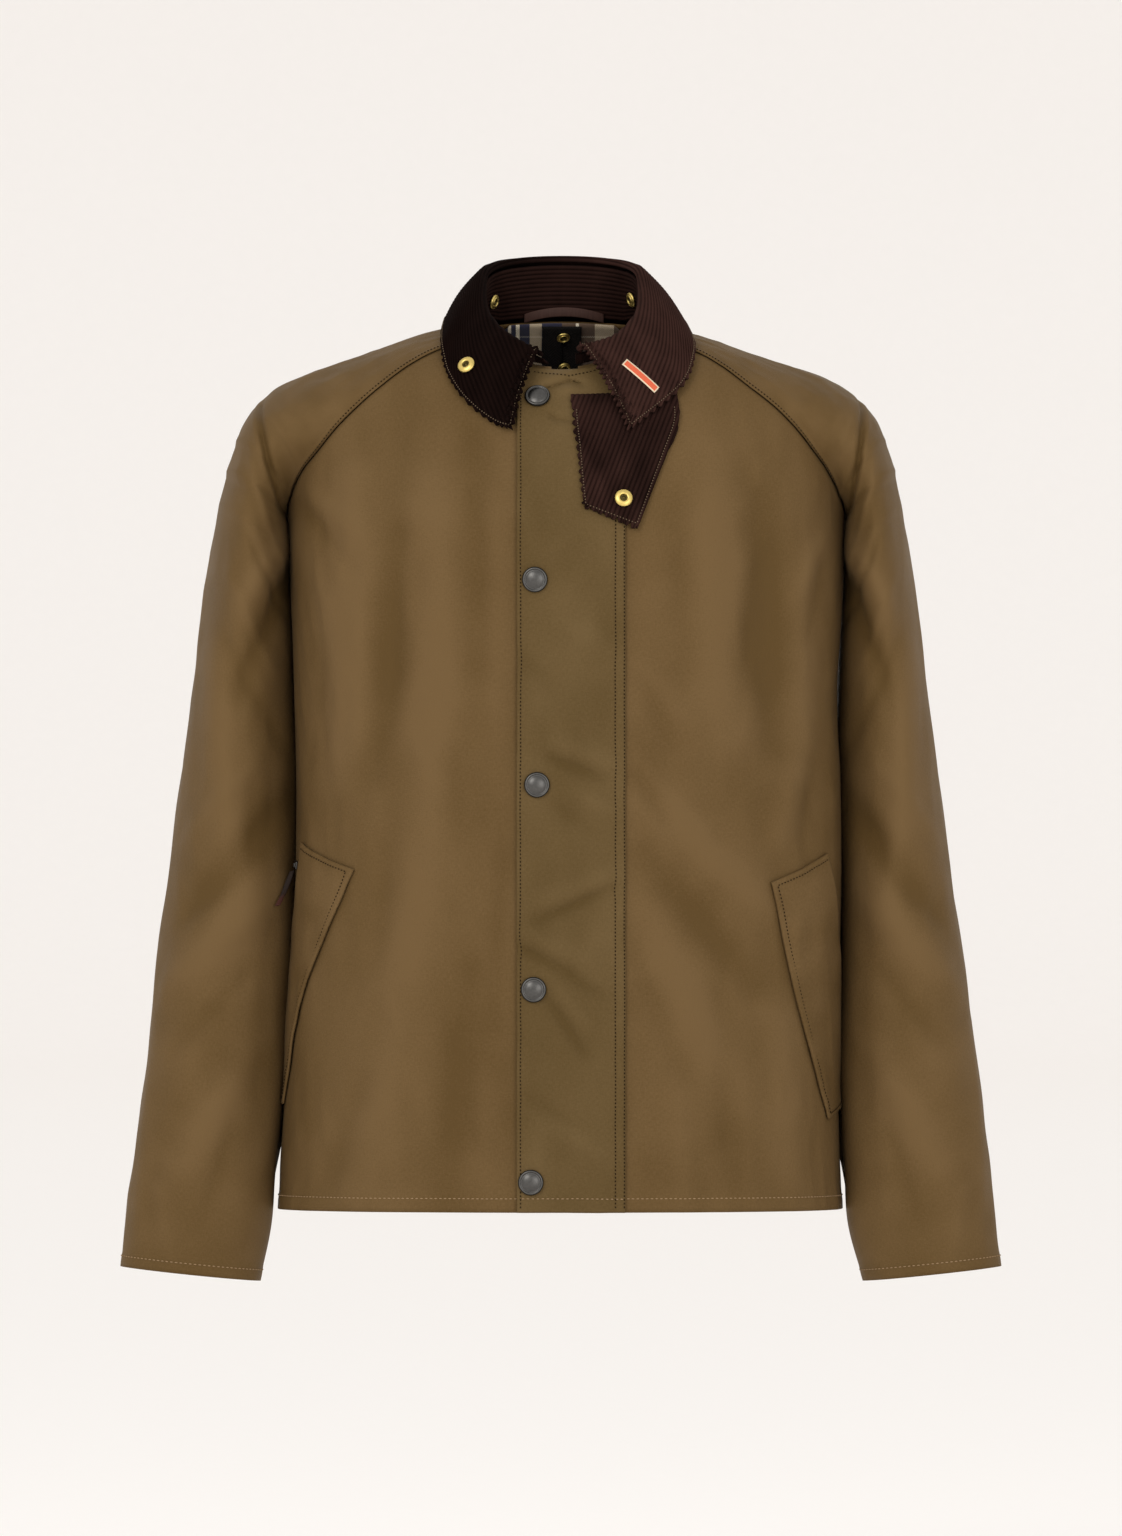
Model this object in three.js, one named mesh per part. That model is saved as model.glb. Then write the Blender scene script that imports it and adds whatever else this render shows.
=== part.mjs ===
import * as THREE from "three";

// Waxed cotton jacket with raglan sleeves and a corduroy collar, filled out as worn, in millimetres.
// +Z is up and the front faces -Y. The origin is at the base of the neck, between the shoulders.

// Main sizes
const HEM_Z = -661;
const CLOTH = 1.6;
const SEAM_GAP = 0.3;
const SQUARENESS = 2.4;
const SIDE_SEAM_ANGLE = -4;
const SIDE_GAP_ANGLE = 0.12;
const NECK_FRONT_Z = -21;
const NECK_BACK_Z = 17;

// Storm flap and the edges of the two fronts under it, across the body
const FLAP_EDGE_X = -34;
const FLAP_SEAM_X = 48;
const RIGHT_FRONT_EDGE_X = 8;
const LEFT_FRONT_EDGE_X = 12;
const FLAP_THICK = 2;
const FLAP_LIFT = 2.8;
const FLAP_DROP = 4;

// Collar
const COLLAR_THICK = 2;
const ROLL_RADIUS = 4.5;
const FALL_WALES = 20;
const STAND_WALES = 12;
const WALE_RISE = 0.7;
const COLLAR_COLUMNS = 24;
const COLLAR_ENDS = 9;

// Snap fittings
const CAP_RADIUS = 9.7;
const CAP_HEIGHT = 3.2;
const SOCKET_RADIUS = 6.8;
const SOCKET_HEIGHT = 2.4;
const STUD_RADIUS = 5.2;

// Body sections. z: height; left, right: half widths at -X and +X; front, back: depths of each half
const BODY = [
  [-661, 216.5, 213.2, 122, 127],
  [-620, 214.6, 212, 123, 126],
  [-560, 210.2, 210.2, 124, 123],
  [-500, 207.6, 211, 125, 120],
  [-440, 203.8, 212.4, 126, 118],
  [-380, 202.6, 213, 127, 117],
  [-330, 202.6, 212.2, 128, 117],
  [-270, 204.2, 210, 129, 119],
  [-200, 206.5, 214, 130, 121],
  [-140, 209, 215.4, 128, 121],
  [-100, 210.5, 216.5, 116, 116],
  [-64, 211, 217, 99, 105],
  [-36, 211, 217, 80, 92],
  [-20, 211, 217, 66, 81],
  [0, 211, 217, 45, 64],
  [20, 211, 217, 26, 42],
];

// Raglan seams from the neck (step 0) to the underarm (step 8, then 9 at the side seam).
// fz, fl, fr: front seam height and its half widths at -X and +X; bz, bl, br: the back seam;
// rl, rlz, rr, rrz: the sleeve's ridge at -X and +X, half width and height
const RAGLAN = [
  [0, 1.5, 65, 65, 14.5, 49, 49, 68, 14, 68, 14],
  [1, -8, 95, 99, -2, 80, 82, 99, 7.4, 97, 6],
  [2, -20, 117, 121, -18, 104, 107, 122, 0.2, 120, -1],
  [3, -36, 138, 142, -36, 127, 131, 150, -9.5, 148, -10.3],
  [4, -51, 155, 161, -55, 148, 153, 178, -19.3, 176, -19.9],
  [5, -67, 171, 177, -76, 166, 171, 202, -28.9, 200, -28.9],
  [6, -84, 185, 190.5, -97, 182, 187, 222, -40, 220, -40.3],
  [7, -100, 198, 202, -117, 196, 201, 236, -53.5, 234, -53],
  [8, -118, 206.5, 211, -131, 206, 212, 247, -73, 245, -73],
  [9, -139, 208.6, 215, -139, 208.6, 215, 257.5, -105, 255, -105],
];
const UNDERARM = 9;

// Sleeve head. step; turn: how far each side wraps round, in degrees; half: half depth past step 7
const SLEEVE_HEAD = [
  [0, 60, 53],
  [1, 62, 62],
  [2, 67, 71],
  [3, 75, 75],
  [4, 88, 74],
  [5, 104, 75],
  [6, 121, 77],
  [7, 138, 80.7],
  [8, 155.5, 84.4],
  [9, 180, 86],
];

// Sleeve below the underarm. step; ol, or: outer half widths at -X and +X; oz: their height;
// il, ir: inner half widths; iz: their height; y: middle, front to back; half: half depth
const SLEEVE = [
  [9, 257.5, 255, -105, 208.6, 215, -139, 13, 86],
  [10, 263.7, 261.4, -138, 211.6, 218.4, -171, 17, 87],
  [11, 270, 267.7, -177, 210.6, 218, -206, 20, 86],
  [12, 277, 274, -222, 209, 216.5, -246, 22, 83],
  [13, 284, 281, -277, 207.6, 215.2, -296, 23, 79],
  [14, 291.8, 288.8, -335, 206.6, 216.4, -350, 21, 74],
  [15, 298, 295.5, -392, 207.6, 218, -406, 17, 69],
  [16, 305, 302.5, -448, 208.8, 217.6, -460, 12, 64],
  [17, 311.5, 310, -504, 212.6, 216.6, -515, 6, 59],
  [18, 318, 317.4, -560, 216, 215.8, -570, 0, 54],
  [19, 325.3, 324, -614, 218.4, 215.6, -624, -6, 49],
  [20, 331.5, 329, -661, 221, 217.5, -671, -11, 44.5],
  [21, 336, 333.6, -704.5, 230, 229.5, -715.5, -15, 41],
];
const CUFF = 21;

// Folds on the front: from x0, z0 to x1, z1 seen from the front; width; rise, negative for a trough
const FRONT_FOLDS = [
  [-123, -150, -138, -330, 15, -5],
  [-160, -110, -172, -330, 18, 4.5],
  [-95, -110, -98, -400, 20, 4],
  [-68, -70, -62, -250, 14, -3],
  [-110, -430, -150, -640, 22, 4],
  [-70, -480, -88, -650, 18, -3],
  [62, -350, 155, -430, 14, 4],
  [62, -390, 145, -490, 13, -4],
  [66, -440, 135, -580, 17, 4],
  [112, -90, 120, -300, 20, 4],
  [152, -120, 160, -310, 14, -4.5],
  [186, -160, 182, -330, 12, 3],
  [165, -520, 172, -650, 16, 3],
];

// Folds on the back, seen from the front too
const BACK_FOLDS = [
  [-80, -90, -96, -400, 22, 4],
  [0, -150, 2, -520, 28, -4.5],
  [86, -95, 104, -420, 22, 4],
  [-140, -140, -152, -360, 16, -5],
  [142, -150, 150, -340, 16, -4.5],
  [-45, -420, -70, -645, 20, 4],
  [52, -470, 60, -650, 20, 4],
  [-176, -150, -178, -320, 14, 3.5],
  [130, -450, 160, -620, 18, -3.5],
  [-120, -500, -130, -650, 18, -3],
];

// Folds on a sleeve: from step s0, share a0 of the way round from the ridge (-1 the front seam,
// 1 the back seam) to s1, a1; width and rise
const SLEEVE_FOLDS = [
  [6.3, -0.05, 8.6, -0.86, 13, -5],
  [6.6, 0.1, 8.1, 0.66, 14, -3.5],
  [9.2, -0.9, 11.4, -0.45, 16, 5],
  [10, -0.95, 12.6, -0.5, 14, -5],
  [9.4, 0.92, 11.8, 0.45, 16, 5],
  [10.6, 0.95, 13, 0.5, 14, -4.5],
  [12.4, -0.3, 15.6, -0.6, 20, 4.5],
  [14, -0.85, 15.6, -0.3, 15, -4.5],
  [15.2, -0.8, 16.8, -0.2, 15, 4],
  [14.2, 0.7, 15.4, 0.2, 15, -4],
  [15, 0.75, 16.8, 0.3, 16, 4],
  [17.4, -0.7, 19.6, -0.35, 16, 3.5],
  [17.8, 0.4, 20, 0.65, 16, 3.5],
];
const STEP_MM = 52;
const AROUND_MM = 190;

// Collar stations from the right-hand end (-9, at -X) round the back (0) to the other end (9).
// ring: share of the neck ring from centre front to centre back; fx, fy, fz: the fold;
// ex, ez: the fall's free edge; ey: its depth, or 0 where it lies on the front
const COLLAR = [
  [-9, 0.055, -14.4, -75, -14.5, -37, -70, 0],
  [-8, 0.15, -27, -72, -7.5, -50, -66, 0],
  [-7, 0.25, -39.5, -63, 0.5, -65, -55.5, 0],
  [-6, 0.35, -49.5, -49, 10, -78, -42, -80],
  [-5, 0.46, -56, -31, 22, -88, -24, -69],
  [-4, 0.57, -58, -10, 37, -92, -3, -52],
  [-3, 0.68, -56, 10, 50, -89.5, 15.5, -2],
  [-2, 0.79, -45, 32, 57, -80, 9.5, 51],
  [-1, 0.9, -24.5, 46, 60.5, -48, -7, 79],
  [0, 1, 0, 50, 61.5, 0, -13, 85.5],
  [1, 0.9, 24.5, 46, 60.5, 48, -7, 79],
  [2, 0.79, 45, 32, 57, 80, 9.5, 51],
  [3, 0.68, 56, 10, 50.5, 92, 15, -2],
  [4, 0.57, 58, -10, 37, 101, -3, -50],
  [5, 0.46, 56.5, -31, 22, 99, -21, -71],
  [6, 0.35, 50, -49, 10, 92.5, -35, -82],
  [7, 0.25, 38, -63, -1, 81, -46.5, 0],
  [8, 0.15, 24, -72, -6.5, 66, -58.5, 0],
  [9, 0.055, 10, -75, -10, 49.4, -71.4, 0],
];

// Throat tab: share of its length; left and right edges in x and z
const TAB = [
  [0, 6.5, -43, 87, -40],
  [0.25, 8, -64, 88.5, -62],
  [0.5, 11, -86, 79.5, -87],
  [0.75, 13.5, -108, 69, -114],
  [1, 16.5, -128.5, 56.5, -146],
];

// Pocket welts: share of the length; angle and height of the slit edge, then of the back edge
const WELT_RIGHT = [
  [0, 43, -402, 16, -382],
  [0.25, 35, -441, 9, -428],
  [0.5, 25, -486, 1, -475],
  [0.75, 16, -533, -7, -525],
  [1, 8, -581, -14, -576],
];
const WELT_LEFT = [
  [0, 46, -412, 22, -390],
  [0.25, 41, -462, 13, -437],
  [0.5, 35, -512, 6, -484],
  [0.75, 28, -553, 0, -531],
  [1, 19.5, -592, -5, -578],
];

// Snap caps down the flap: x, z
const CAPS = [
  [-18.5, -46],
  [-20.2, -183],
  [-19.1, -338],
  [-21.4, -492.5],
  [-23.5, -638],
];

const COLOURS = {
  cotton: ["#6e5534", 0.62, 0],
  flap: ["#665338", 0.62, 0],
  corduroy: ["#2c1d19", 0.9, 0],
  lining: ["#3a3532", 0.85, 0],
  satin: ["#4a362e", 0.5, 0],
  tape: ["#100e0d", 0.8, 0],
  gunmetal: ["#5b5a57", 0.35, 0.9],
  brass: ["#c8af5a", 0.3, 0.9],
  label: ["#c8492a", 0.8, 0],
  leather: ["#2a1c16", 0.6, 0],
};

const radians = (degrees) => (degrees * Math.PI) / 180;
const point = (x, y, z) => new THREE.Vector3(x, y, z);
const mix = (a, b, t) => a + (b - a) * t;
const blend = (a, b, t) => a.clone().lerp(b, t);
const shift = (p, direction, distance) => p.clone().addScaledVector(direction, distance);
const spread = (count, from = 0, to = 1) =>
  Array.from({ length: count + 1 }, (_, i) => mix(from, to, i / count));

// A table read between its rows on a smooth curve; the first column is the key
function read(table, key) {
  const last = table.length - 1;
  if (key <= table[0][0]) return table[0].slice(1);
  if (key >= table[last][0]) return table[last].slice(1);
  const i = table.findIndex((row) => row[0] > key) - 1;
  const slope = (k, c) => {
    const lo = table[Math.max(k - 1, 0)], hi = table[Math.min(k + 1, last)];
    return (hi[c] - lo[c]) / (hi[0] - lo[0]);
  };
  const [a, b] = [table[i], table[i + 1]], run = b[0] - a[0], t = (key - a[0]) / run;
  return a.slice(1).map((from, k) => {
    const c = k + 1, t2 = t * t, t3 = t2 * t;
    return (2 * t3 - 3 * t2 + 1) * from + (3 * t2 - 2 * t3) * b[c]
      + run * ((t3 - 2 * t2 + t) * slope(i, c) + (t3 - t2) * slope(i + 1, c));
  });
}

// How far the folds raise the cloth at a place in a fold table's plane
function folded(folds, a, b) {
  return folds.reduce((sum, [a0, b0, a1, b1, width, rise]) => {
    const da = a1 - a0, db = b1 - b0;
    const along = THREE.MathUtils.clamp(((a - a0) * da + (b - b0) * db) / (da * da + db * db), 0, 1);
    const away = Math.hypot(a - a0 - da * along, b - b0 - db * along) / width;
    return sum + rise * Math.exp(-away * away) * (0.55 + 0.45 * Math.sin(Math.PI * along));
  }, 0);
}

// The direction out of a surface at (a, b), where a runs left to right seen from outside, b down
function outward(surface, a, b, da, db) {
  const across = surface(a + da, b).sub(surface(a - da, b));
  const down = surface(a, b + db).sub(surface(a, b - db));
  return down.cross(across).normalize();
}

// A closed wall between an outer grid of points and an inner one, whose cells may be coarser
function wall(outer, inner) {
  const points = [], faces = [];
  const indexed = (grid) => grid.map((row) => row.map((p) => points.push(p) - 1));
  const cells = (grid, flip) => {
    for (let i = 0; i + 1 < grid.length; i++)
      for (let j = 0; j + 1 < grid[i].length; j++) {
        const [a, b, c, d] = [grid[i][j], grid[i + 1][j], grid[i + 1][j + 1], grid[i][j + 1]];
        const short = points[a].distanceTo(points[c]) <= points[b].distanceTo(points[d]);
        const pair = short ? [[a, b, c], [a, c, d]] : [[a, b, d], [b, c, d]];
        pair.forEach(([p, q, r]) => faces.push(flip ? [p, r, q] : [p, q, r]));
      }
  };
  const borders = (grid) => {
    const last = grid.length - 1;
    return [
      grid.map((row) => row[0]),
      grid[last].slice(),
      grid.map((row) => row[row.length - 1]).reverse(),
      grid[0].slice().reverse(),
    ];
  };
  const [out, back] = [indexed(outer), indexed(inner)];
  cells(out, false);
  cells(back, true);
  const insides = borders(back);
  borders(out).forEach((edge, side) => {
    const inside = insides[side], fine = (edge.length - 1) / (inside.length - 1);
    for (let k = 0; k + 1 < inside.length; k++) {
      const half = Math.ceil(fine / 2);
      for (let m = 0; m < fine; m++) {
        const pivot = m < half ? inside[k] : inside[k + 1];
        faces.push([edge[k * fine + m + 1], edge[k * fine + m], pivot]);
      }
      faces.push([edge[k * fine + half], inside[k], inside[k + 1]]);
    }
  });
  const geometry = new THREE.BufferGeometry().setFromPoints(points).setIndex(faces.flat());
  geometry.computeVertexNormals();
  return geometry;
}

// A wall of even cells on a surface: columns and rows are its (a, b) places
function clothWall(surface, columns, rows, thick, lift = 0, step = [0.01, 0.5]) {
  const outer = [], inner = [];
  rows.forEach((b, i) => {
    outer.push([]);
    inner.push([]);
    columns.forEach((a) => {
      const out = outward(surface, a, b, ...step), p = surface(a, b);
      outer[i].push(shift(p, out, lift + thick));
      inner[i].push(shift(p, out, lift));
    });
  });
  return wall(outer, inner);
}

// Body surface: side -1 is at -X; the angle runs from the side (0) to centre front (90), and
// below 0 towards centre back
function bodyPoint(side, angle, z) {
  const [left, right, front, back] = read(BODY, z), power = 2 / SQUARENESS;
  const c = Math.cos(radians(angle)), s = Math.sin(radians(angle));
  const x = side * (side < 0 ? left : right) * Math.sign(c) * Math.abs(c) ** power;
  const y = (s > 0 ? -front : back) * Math.abs(s) ** power;
  return point(x, y, z);
}

// The angle at which the body surface has the half width x
function bodyAngle(side, x, z) {
  const [left, right] = read(BODY, z), share = x / (side < 0 ? left : right);
  const c = Math.sign(share) * Math.min(Math.abs(share), 1) ** (SQUARENESS / 2);
  return (Math.acos(c) * 180) / Math.PI;
}

// Body surface with its folds, softened where pieces are joined to it
function bodySurface(side, angle, z) {
  const p = bodyPoint(side, angle, z), step = 0.5;
  const turn = bodyPoint(side, angle + step, z).sub(bodyPoint(side, angle - step, z));
  const rise = bodyPoint(side, angle, z + 2).sub(bodyPoint(side, angle, z - 2));
  const out = turn.cross(rise).multiplyScalar(-side).normalize();
  const calm = Math.min(1, Math.abs(angle - SIDE_SEAM_ANGLE) / 16);
  const folds = angle > SIDE_SEAM_ANGLE ? FRONT_FOLDS : BACK_FOLDS;
  return shift(p, out, calm * folded(folds, p.x, z));
}

// The body surface at x and z on the front
const frontPoint = (x, z) => {
  const side = x < 0 ? -1 : 1;
  return bodySurface(side, bodyAngle(side, Math.abs(x), z), z);
};

// The front moved forward so that it stands off by a distance at x and z
function frontRaised(x, z, off) {
  const p = frontPoint(x, z), out = outward((a, b) => frontPoint(a, -b), x, -z, 1, 1);
  return shift(p, point(0, -1, 0), off / Math.max(-out.y, 0.4));
}

// Angle and height of the raglan seam at a step, front or back
function seamPlace(side, step, behind) {
  const row = read(RAGLAN, Math.min(step, 8));
  const z = row[behind ? 3 : 0], x = row[(behind ? 4 : 1) + (side > 0 ? 1 : 0)];
  const angle = bodyAngle(side, x, z) * (behind ? -1 : 1);
  if (step <= 8) return [angle, z];
  const t = step - 8;
  return [mix(angle, SIDE_SEAM_ANGLE, t), mix(z, RAGLAN[UNDERARM][1], t)];
}
const seamPoint = (side, step, behind) => bodyPoint(side, ...seamPlace(side, step, behind));

// Height of the neck edge at x, front or back
const neckFrontZ = (side, x) => {
  const half = RAGLAN[0][side < 0 ? 2 : 3];
  return mix(NECK_FRONT_Z, RAGLAN[0][1], Math.min(1, (x / half) ** 2));
};
const neckBackZ = (x) => mix(NECK_BACK_Z, RAGLAN[0][4], Math.min(1, (x / RAGLAN[0][5]) ** 2));

// Sleeve section at a step: its middle, ridge vector, depth vector and turn
function sleeveSection(side, step) {
  if (step >= UNDERARM) {
    const [ol, or, oz, il, ir, iz, y, half] = read(SLEEVE, step);
    const outer = point(side * (side < 0 ? ol : or), y, oz);
    const inner = point(side * (side < 0 ? il : ir), y, iz);
    const middle = blend(outer, inner, 0.5);
    return { middle, ridge: outer.sub(middle), depth: point(0, half, 0), turn: Math.PI };
  }
  const front = seamPoint(side, step, false), back = seamPoint(side, step, true);
  const row = read(RAGLAN, step), [turnTable, half] = read(SLEEVE_HEAD, step);
  const top = point(side * (side < 0 ? row[6] : row[8]), 4 + step, side < 0 ? row[7] : row[9]);
  const span = back.clone().sub(front), wide = span.length() / 2;
  const turn = step < 7
    ? radians(turnTable) : Math.PI - Math.asin(Math.min(1, wide / half));
  const reach = step < 7 ? wide / Math.sin(turn) : half;
  const depth = wide > 1 ? span.normalize().multiplyScalar(reach) : point(0, reach, 0);
  const ridge = top.clone().sub(blend(front, back, 0.5)).divideScalar(1 - Math.cos(turn));
  return { middle: top.sub(ridge), ridge, depth, turn };
}

// Sleeve surface: around runs from -1 at the front seam over the ridge to 1 at the back seam
function sleeveSurface(side, around, step) {
  const { middle, ridge, depth, turn } = sleeveSection(side, step);
  const at = (a) => shift(shift(middle, ridge, Math.cos(turn * a)), depth, Math.sin(turn * a));
  const out = shift(point(0, 0, 0), ridge.clone().normalize(), Math.cos(turn * around))
    .addScaledVector(depth.clone().normalize(), Math.sin(turn * around));
  const calm = Math.min(1, (1 - Math.abs(around)) / 0.12);
  const folds = SLEEVE_FOLDS.map(([s0, a0, s1, a1, width, rise]) =>
    [s0 * STEP_MM, a0 * AROUND_MM, s1 * STEP_MM, a1 * AROUND_MM, width, rise]);
  return shift(at(around), out, calm * folded(folds, step * STEP_MM, around * AROUND_MM));
}

// Steps shared by the sleeve heads and the panels they join, so that their edges run together
const HEAD_STEPS = [0, 1, 2, 3, 4, 5, 5.7, 6.4, 7.1, 8, 9];

// Columns of a body panel on one side: its angle and its top edge
function sideColumns(side, behind) {
  return HEAD_STEPS.map((step) => {
    const [angle, z] = seamPlace(side, step, behind);
    return { side, angle, top: z };
  });
}
function neckColumns(side, xs, behind) {
  return xs.map((x) => {
    const z = behind ? neckBackZ(x) : neckFrontZ(side, x);
    return { side, angle: bodyAngle(side, x, z) * (behind ? -1 : 1), top: z };
  });
}

// A body panel: columns from left to right seen from outside, each from its top edge to the hem
const PANEL_ROWS = spread(22).map((t) => t ** 1.5);
function bodyPanel(columns) {
  const outer = [], inner = [];
  PANEL_ROWS.forEach((share, i) => {
    outer.push([]);
    inner.push([]);
    columns.forEach(({ side, angle, top }) => {
      const z = mix(top, HEM_Z, share), surface = (a, b) => bodySurface(side, a, -b);
      const out = outward(surface, angle, -z, -side * 0.4, 2);
      const p = surface(angle, -z);
      outer[i].push(p);
      inner[i].push(shift(p, out, -CLOTH));
    });
  });
  return wall(outer, inner);
}

function frontPanel(side) {
  const edge = side < 0 ? -RIGHT_FRONT_EDGE_X : LEFT_FRONT_EDGE_X;
  const corner = RAGLAN[0][side < 0 ? 2 : 3];
  const neck = neckColumns(side, spread(4, edge, corner).slice(0, -1), false);
  const columns = [...neck, ...sideColumns(side, false)];
  columns[columns.length - 1].angle += SIDE_GAP_ANGLE;
  return bodyPanel(side < 0 ? columns.reverse() : columns);
}

function backPanel() {
  const corner = RAGLAN[0][5];
  const sides = [1, -1].map((side) => {
    const columns = sideColumns(side, true);
    columns[columns.length - 1].angle -= SIDE_GAP_ANGLE;
    return columns;
  });
  const neck = [1, -1].map((side) => neckColumns(side, spread(2, 0, corner).slice(0, -1), true));
  return bodyPanel([...sides[0].reverse(), ...neck[0].reverse(), ...neck[1].slice(1), ...sides[1]]);
}

// One-piece raglan sleeve; its edges stop just short of the seams
function sleevePanel(side) {
  const rows = [...HEAD_STEPS, ...spread(CUFF - UNDERARM, UNDERARM, CUFF).slice(1)];
  const edge = 1 - (2 * SEAM_GAP) / AROUND_MM, columns = spread(18, -edge, edge);
  if (side < 0) columns.reverse();
  const outer = [], inner = [];
  rows.forEach((step, i) => {
    const surface = (a, b) => sleeveSurface(side, a, b);
    outer.push([]);
    inner.push([]);
    columns.forEach((around, j) => {
      const b = Math.min(Math.max(step, 0.02), CUFF - 0.02);
      let out = outward(surface, around, b, side * 0.01, 0.02);
      const atSeam = j === 0 || j === columns.length - 1;
      if (atSeam && step < 6) {
        const [angle, z] = seamPlace(side, step, around > 0);
        out = outward((a, c) => bodySurface(side, a, -c), angle, -z, -side * 0.4, 2);
      }
      const p = surface(around, step);
      outer[i].push(p);
      inner[i].push(shift(p, out, -CLOTH));
    });
  });
  return wall(outer, inner);
}

// Storm flap over the meeting edges of the fronts
function flapSurface(a, b) {
  const top = neckFrontZ(a < 0 ? -1 : 1, Math.abs(a)) - FLAP_DROP, z = mix(top, HEM_Z, b);
  return frontPoint(a, z);
}
const stormFlap = () => clothWall(flapSurface, spread(6, FLAP_EDGE_X, FLAP_SEAM_X),
  PANEL_ROWS, FLAP_THICK, FLAP_LIFT - FLAP_THICK, [0.5, 0.002]);

// A point on the neck ring: share 0 at centre front, 1 at centre back
function neckRing(side, share) {
  const front = 0.34, sleeve = 0.76;
  if (share <= front) {
    const x = (share / front) * RAGLAN[0][side < 0 ? 2 : 3], z = neckFrontZ(side, x);
    return bodyPoint(side, bodyAngle(side, x, z), z);
  }
  if (share <= sleeve) return sleeveSurface(side, -1 + (2 * (share - front)) / (sleeve - front), 0);
  const x = (1 - (share - sleeve) / (1 - sleeve)) * RAGLAN[0][5], z = neckBackZ(x);
  return bodyPoint(side, -bodyAngle(side, x, z), z);
}

// How high the layers under a place on the front reach: the flap, and the throat tab on one side
const flapUnder = (x) => 1 - THREE.MathUtils.smoothstep(
  Math.max(FLAP_EDGE_X - x, x - FLAP_SEAM_X), 2, 20);
const tabBase = (x) => mix(0.7, FLAP_LIFT + 0.6, flapUnder(x));
const layersAt = (x) => (x > 0 ? tabBase(x) + COLLAR_THICK + WALE_RISE : FLAP_LIFT * flapUnder(x));

function collarStation(place) {
  const [ring, fx, fy, fz, ex, ez, ey] = read(COLLAR, place);
  const side = place < 0 ? -1 : 1, fold = point(fx, fy, fz);
  const lying = THREE.MathUtils.smoothstep(Math.abs(place), 4.4, 5.4);
  const rest = lying > 0 ? frontRaised(ex, ez, layersAt(ex) + 0.8 + COLLAR_THICK).y : ey;
  return { base: neckRing(side, ring), fold, edge: point(ex, mix(ey, rest, lying), ez) };
}

// Collar stand, seen from inside the neck: share runs from the fold down to the neck seam
function standSurface(place, share) {
  const { base, fold } = collarStation(place);
  const low = shift(base, point(0, 0, 1), 2.4);
  const inwards = point(-base.x, -base.y, 0).normalize();
  const foot = shift(low, inwards, COLLAR_THICK), lean = foot.clone().sub(fold).normalize();
  return blend(shift(fold, lean, 1.8), foot, share);
}

// Collar fall: over the roll at the fold, then down to the free edge
function fallSurface(place, share) {
  const { fold, edge } = collarStation(place), up = point(0, 0, 1);
  const span = edge.clone().sub(fold), drop = -span.z;
  const level = point(span.x, span.y, 0), reach = level.length();
  level.normalize();
  const slope = Math.atan2(drop, Math.max(reach - 2 * ROLL_RADIUS, 1)), turn = Math.PI / 2 + slope;
  const rollEnd = shift(shift(fold, level, ROLL_RADIUS * (1 - Math.cos(turn))), up,
    ROLL_RADIUS * Math.sin(turn) + SEAM_GAP);
  const rollLength = ROLL_RADIUS * turn, length = rollLength + rollEnd.distanceTo(edge);
  const run = share * length;
  if (run < rollLength) {
    const t = run / ROLL_RADIUS;
    return shift(shift(fold, level, ROLL_RADIUS * (1 - Math.cos(t))), up,
      ROLL_RADIUS * Math.sin(t) + SEAM_GAP);
  }
  const t = (run - rollLength) / (length - rollLength);
  const out = shift(shift(point(0, 0, 0), level, Math.sin(slope)), up, Math.cos(slope));
  return shift(blend(rollEnd, edge, t), out, 3 * Math.sin(Math.PI * t));
}

// A corduroy wall: each wale is a pair of rows, raised on the face and plain behind
function corduroyWall(surface, columns, wales, coarse, rise, step, thick = COLLAR_THICK) {
  const outer = [], inner = [];
  for (let i = 0; i <= 2 * wales; i++) {
    const b = i / (2 * wales), raised = i % 2 ? 1 : 0;
    outer.push([]);
    const plain = i % coarse === 0 ? [] : null;
    columns.forEach((a) => {
      const safe = THREE.MathUtils.clamp(b, step[1], 1 - step[1]);
      const out = outward(surface, a, safe, ...step), p = surface(a, b);
      outer[i].push(shift(p, out, raised * rise(a)));
      if (plain) plain.push(shift(p, out, -thick));
    });
    if (plain) inner.push(plain);
  }
  return wall(outer, inner);
}

const collarFall = () => corduroyWall(fallSurface, spread(COLLAR_COLUMNS, COLLAR_ENDS, -COLLAR_ENDS),
  FALL_WALES, 4, () => WALE_RISE, [-0.02, 0.01]);
const collarStand = () => corduroyWall(standSurface, spread(COLLAR_COLUMNS, -COLLAR_ENDS, COLLAR_ENDS),
  STAND_WALES, 4, (a) => WALE_RISE * THREE.MathUtils.clamp((COLLAR_ENDS - Math.abs(a)) / 5, 0.1, 1),
  [0.02, 0.01], 1.6);

// Throat tab: a runs across from the left edge, b along its length; wales run lengthways
function tabPoint(across, along) {
  const [lx, lz, rx, rz] = read(TAB, along);
  const x = mix(lx, rx, across), z = mix(lz, rz, across);
  return frontRaised(x, z, tabBase(x) + COLLAR_THICK);
}
const throatTab = () => corduroyWall((b, a) => tabPoint(1 - a, b), spread(7), 10, 4,
  () => WALE_RISE, [0.01, 0.01]);

// Pocket welt on the body's side, its slit edge standing a little open
function pocketWelt(side, table) {
  const surface = (a, b) => {
    const [slitAngle, slitZ, backAngle, backZ] = read(table, b);
    const across = side < 0 ? 1 - a : a;
    return bodySurface(side, mix(slitAngle, backAngle, across), mix(slitZ, backZ, across));
  };
  return clothWall(surface, spread(5), spread(10), 1.6, 0.9, [0.01, 0.01]);
}

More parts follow.
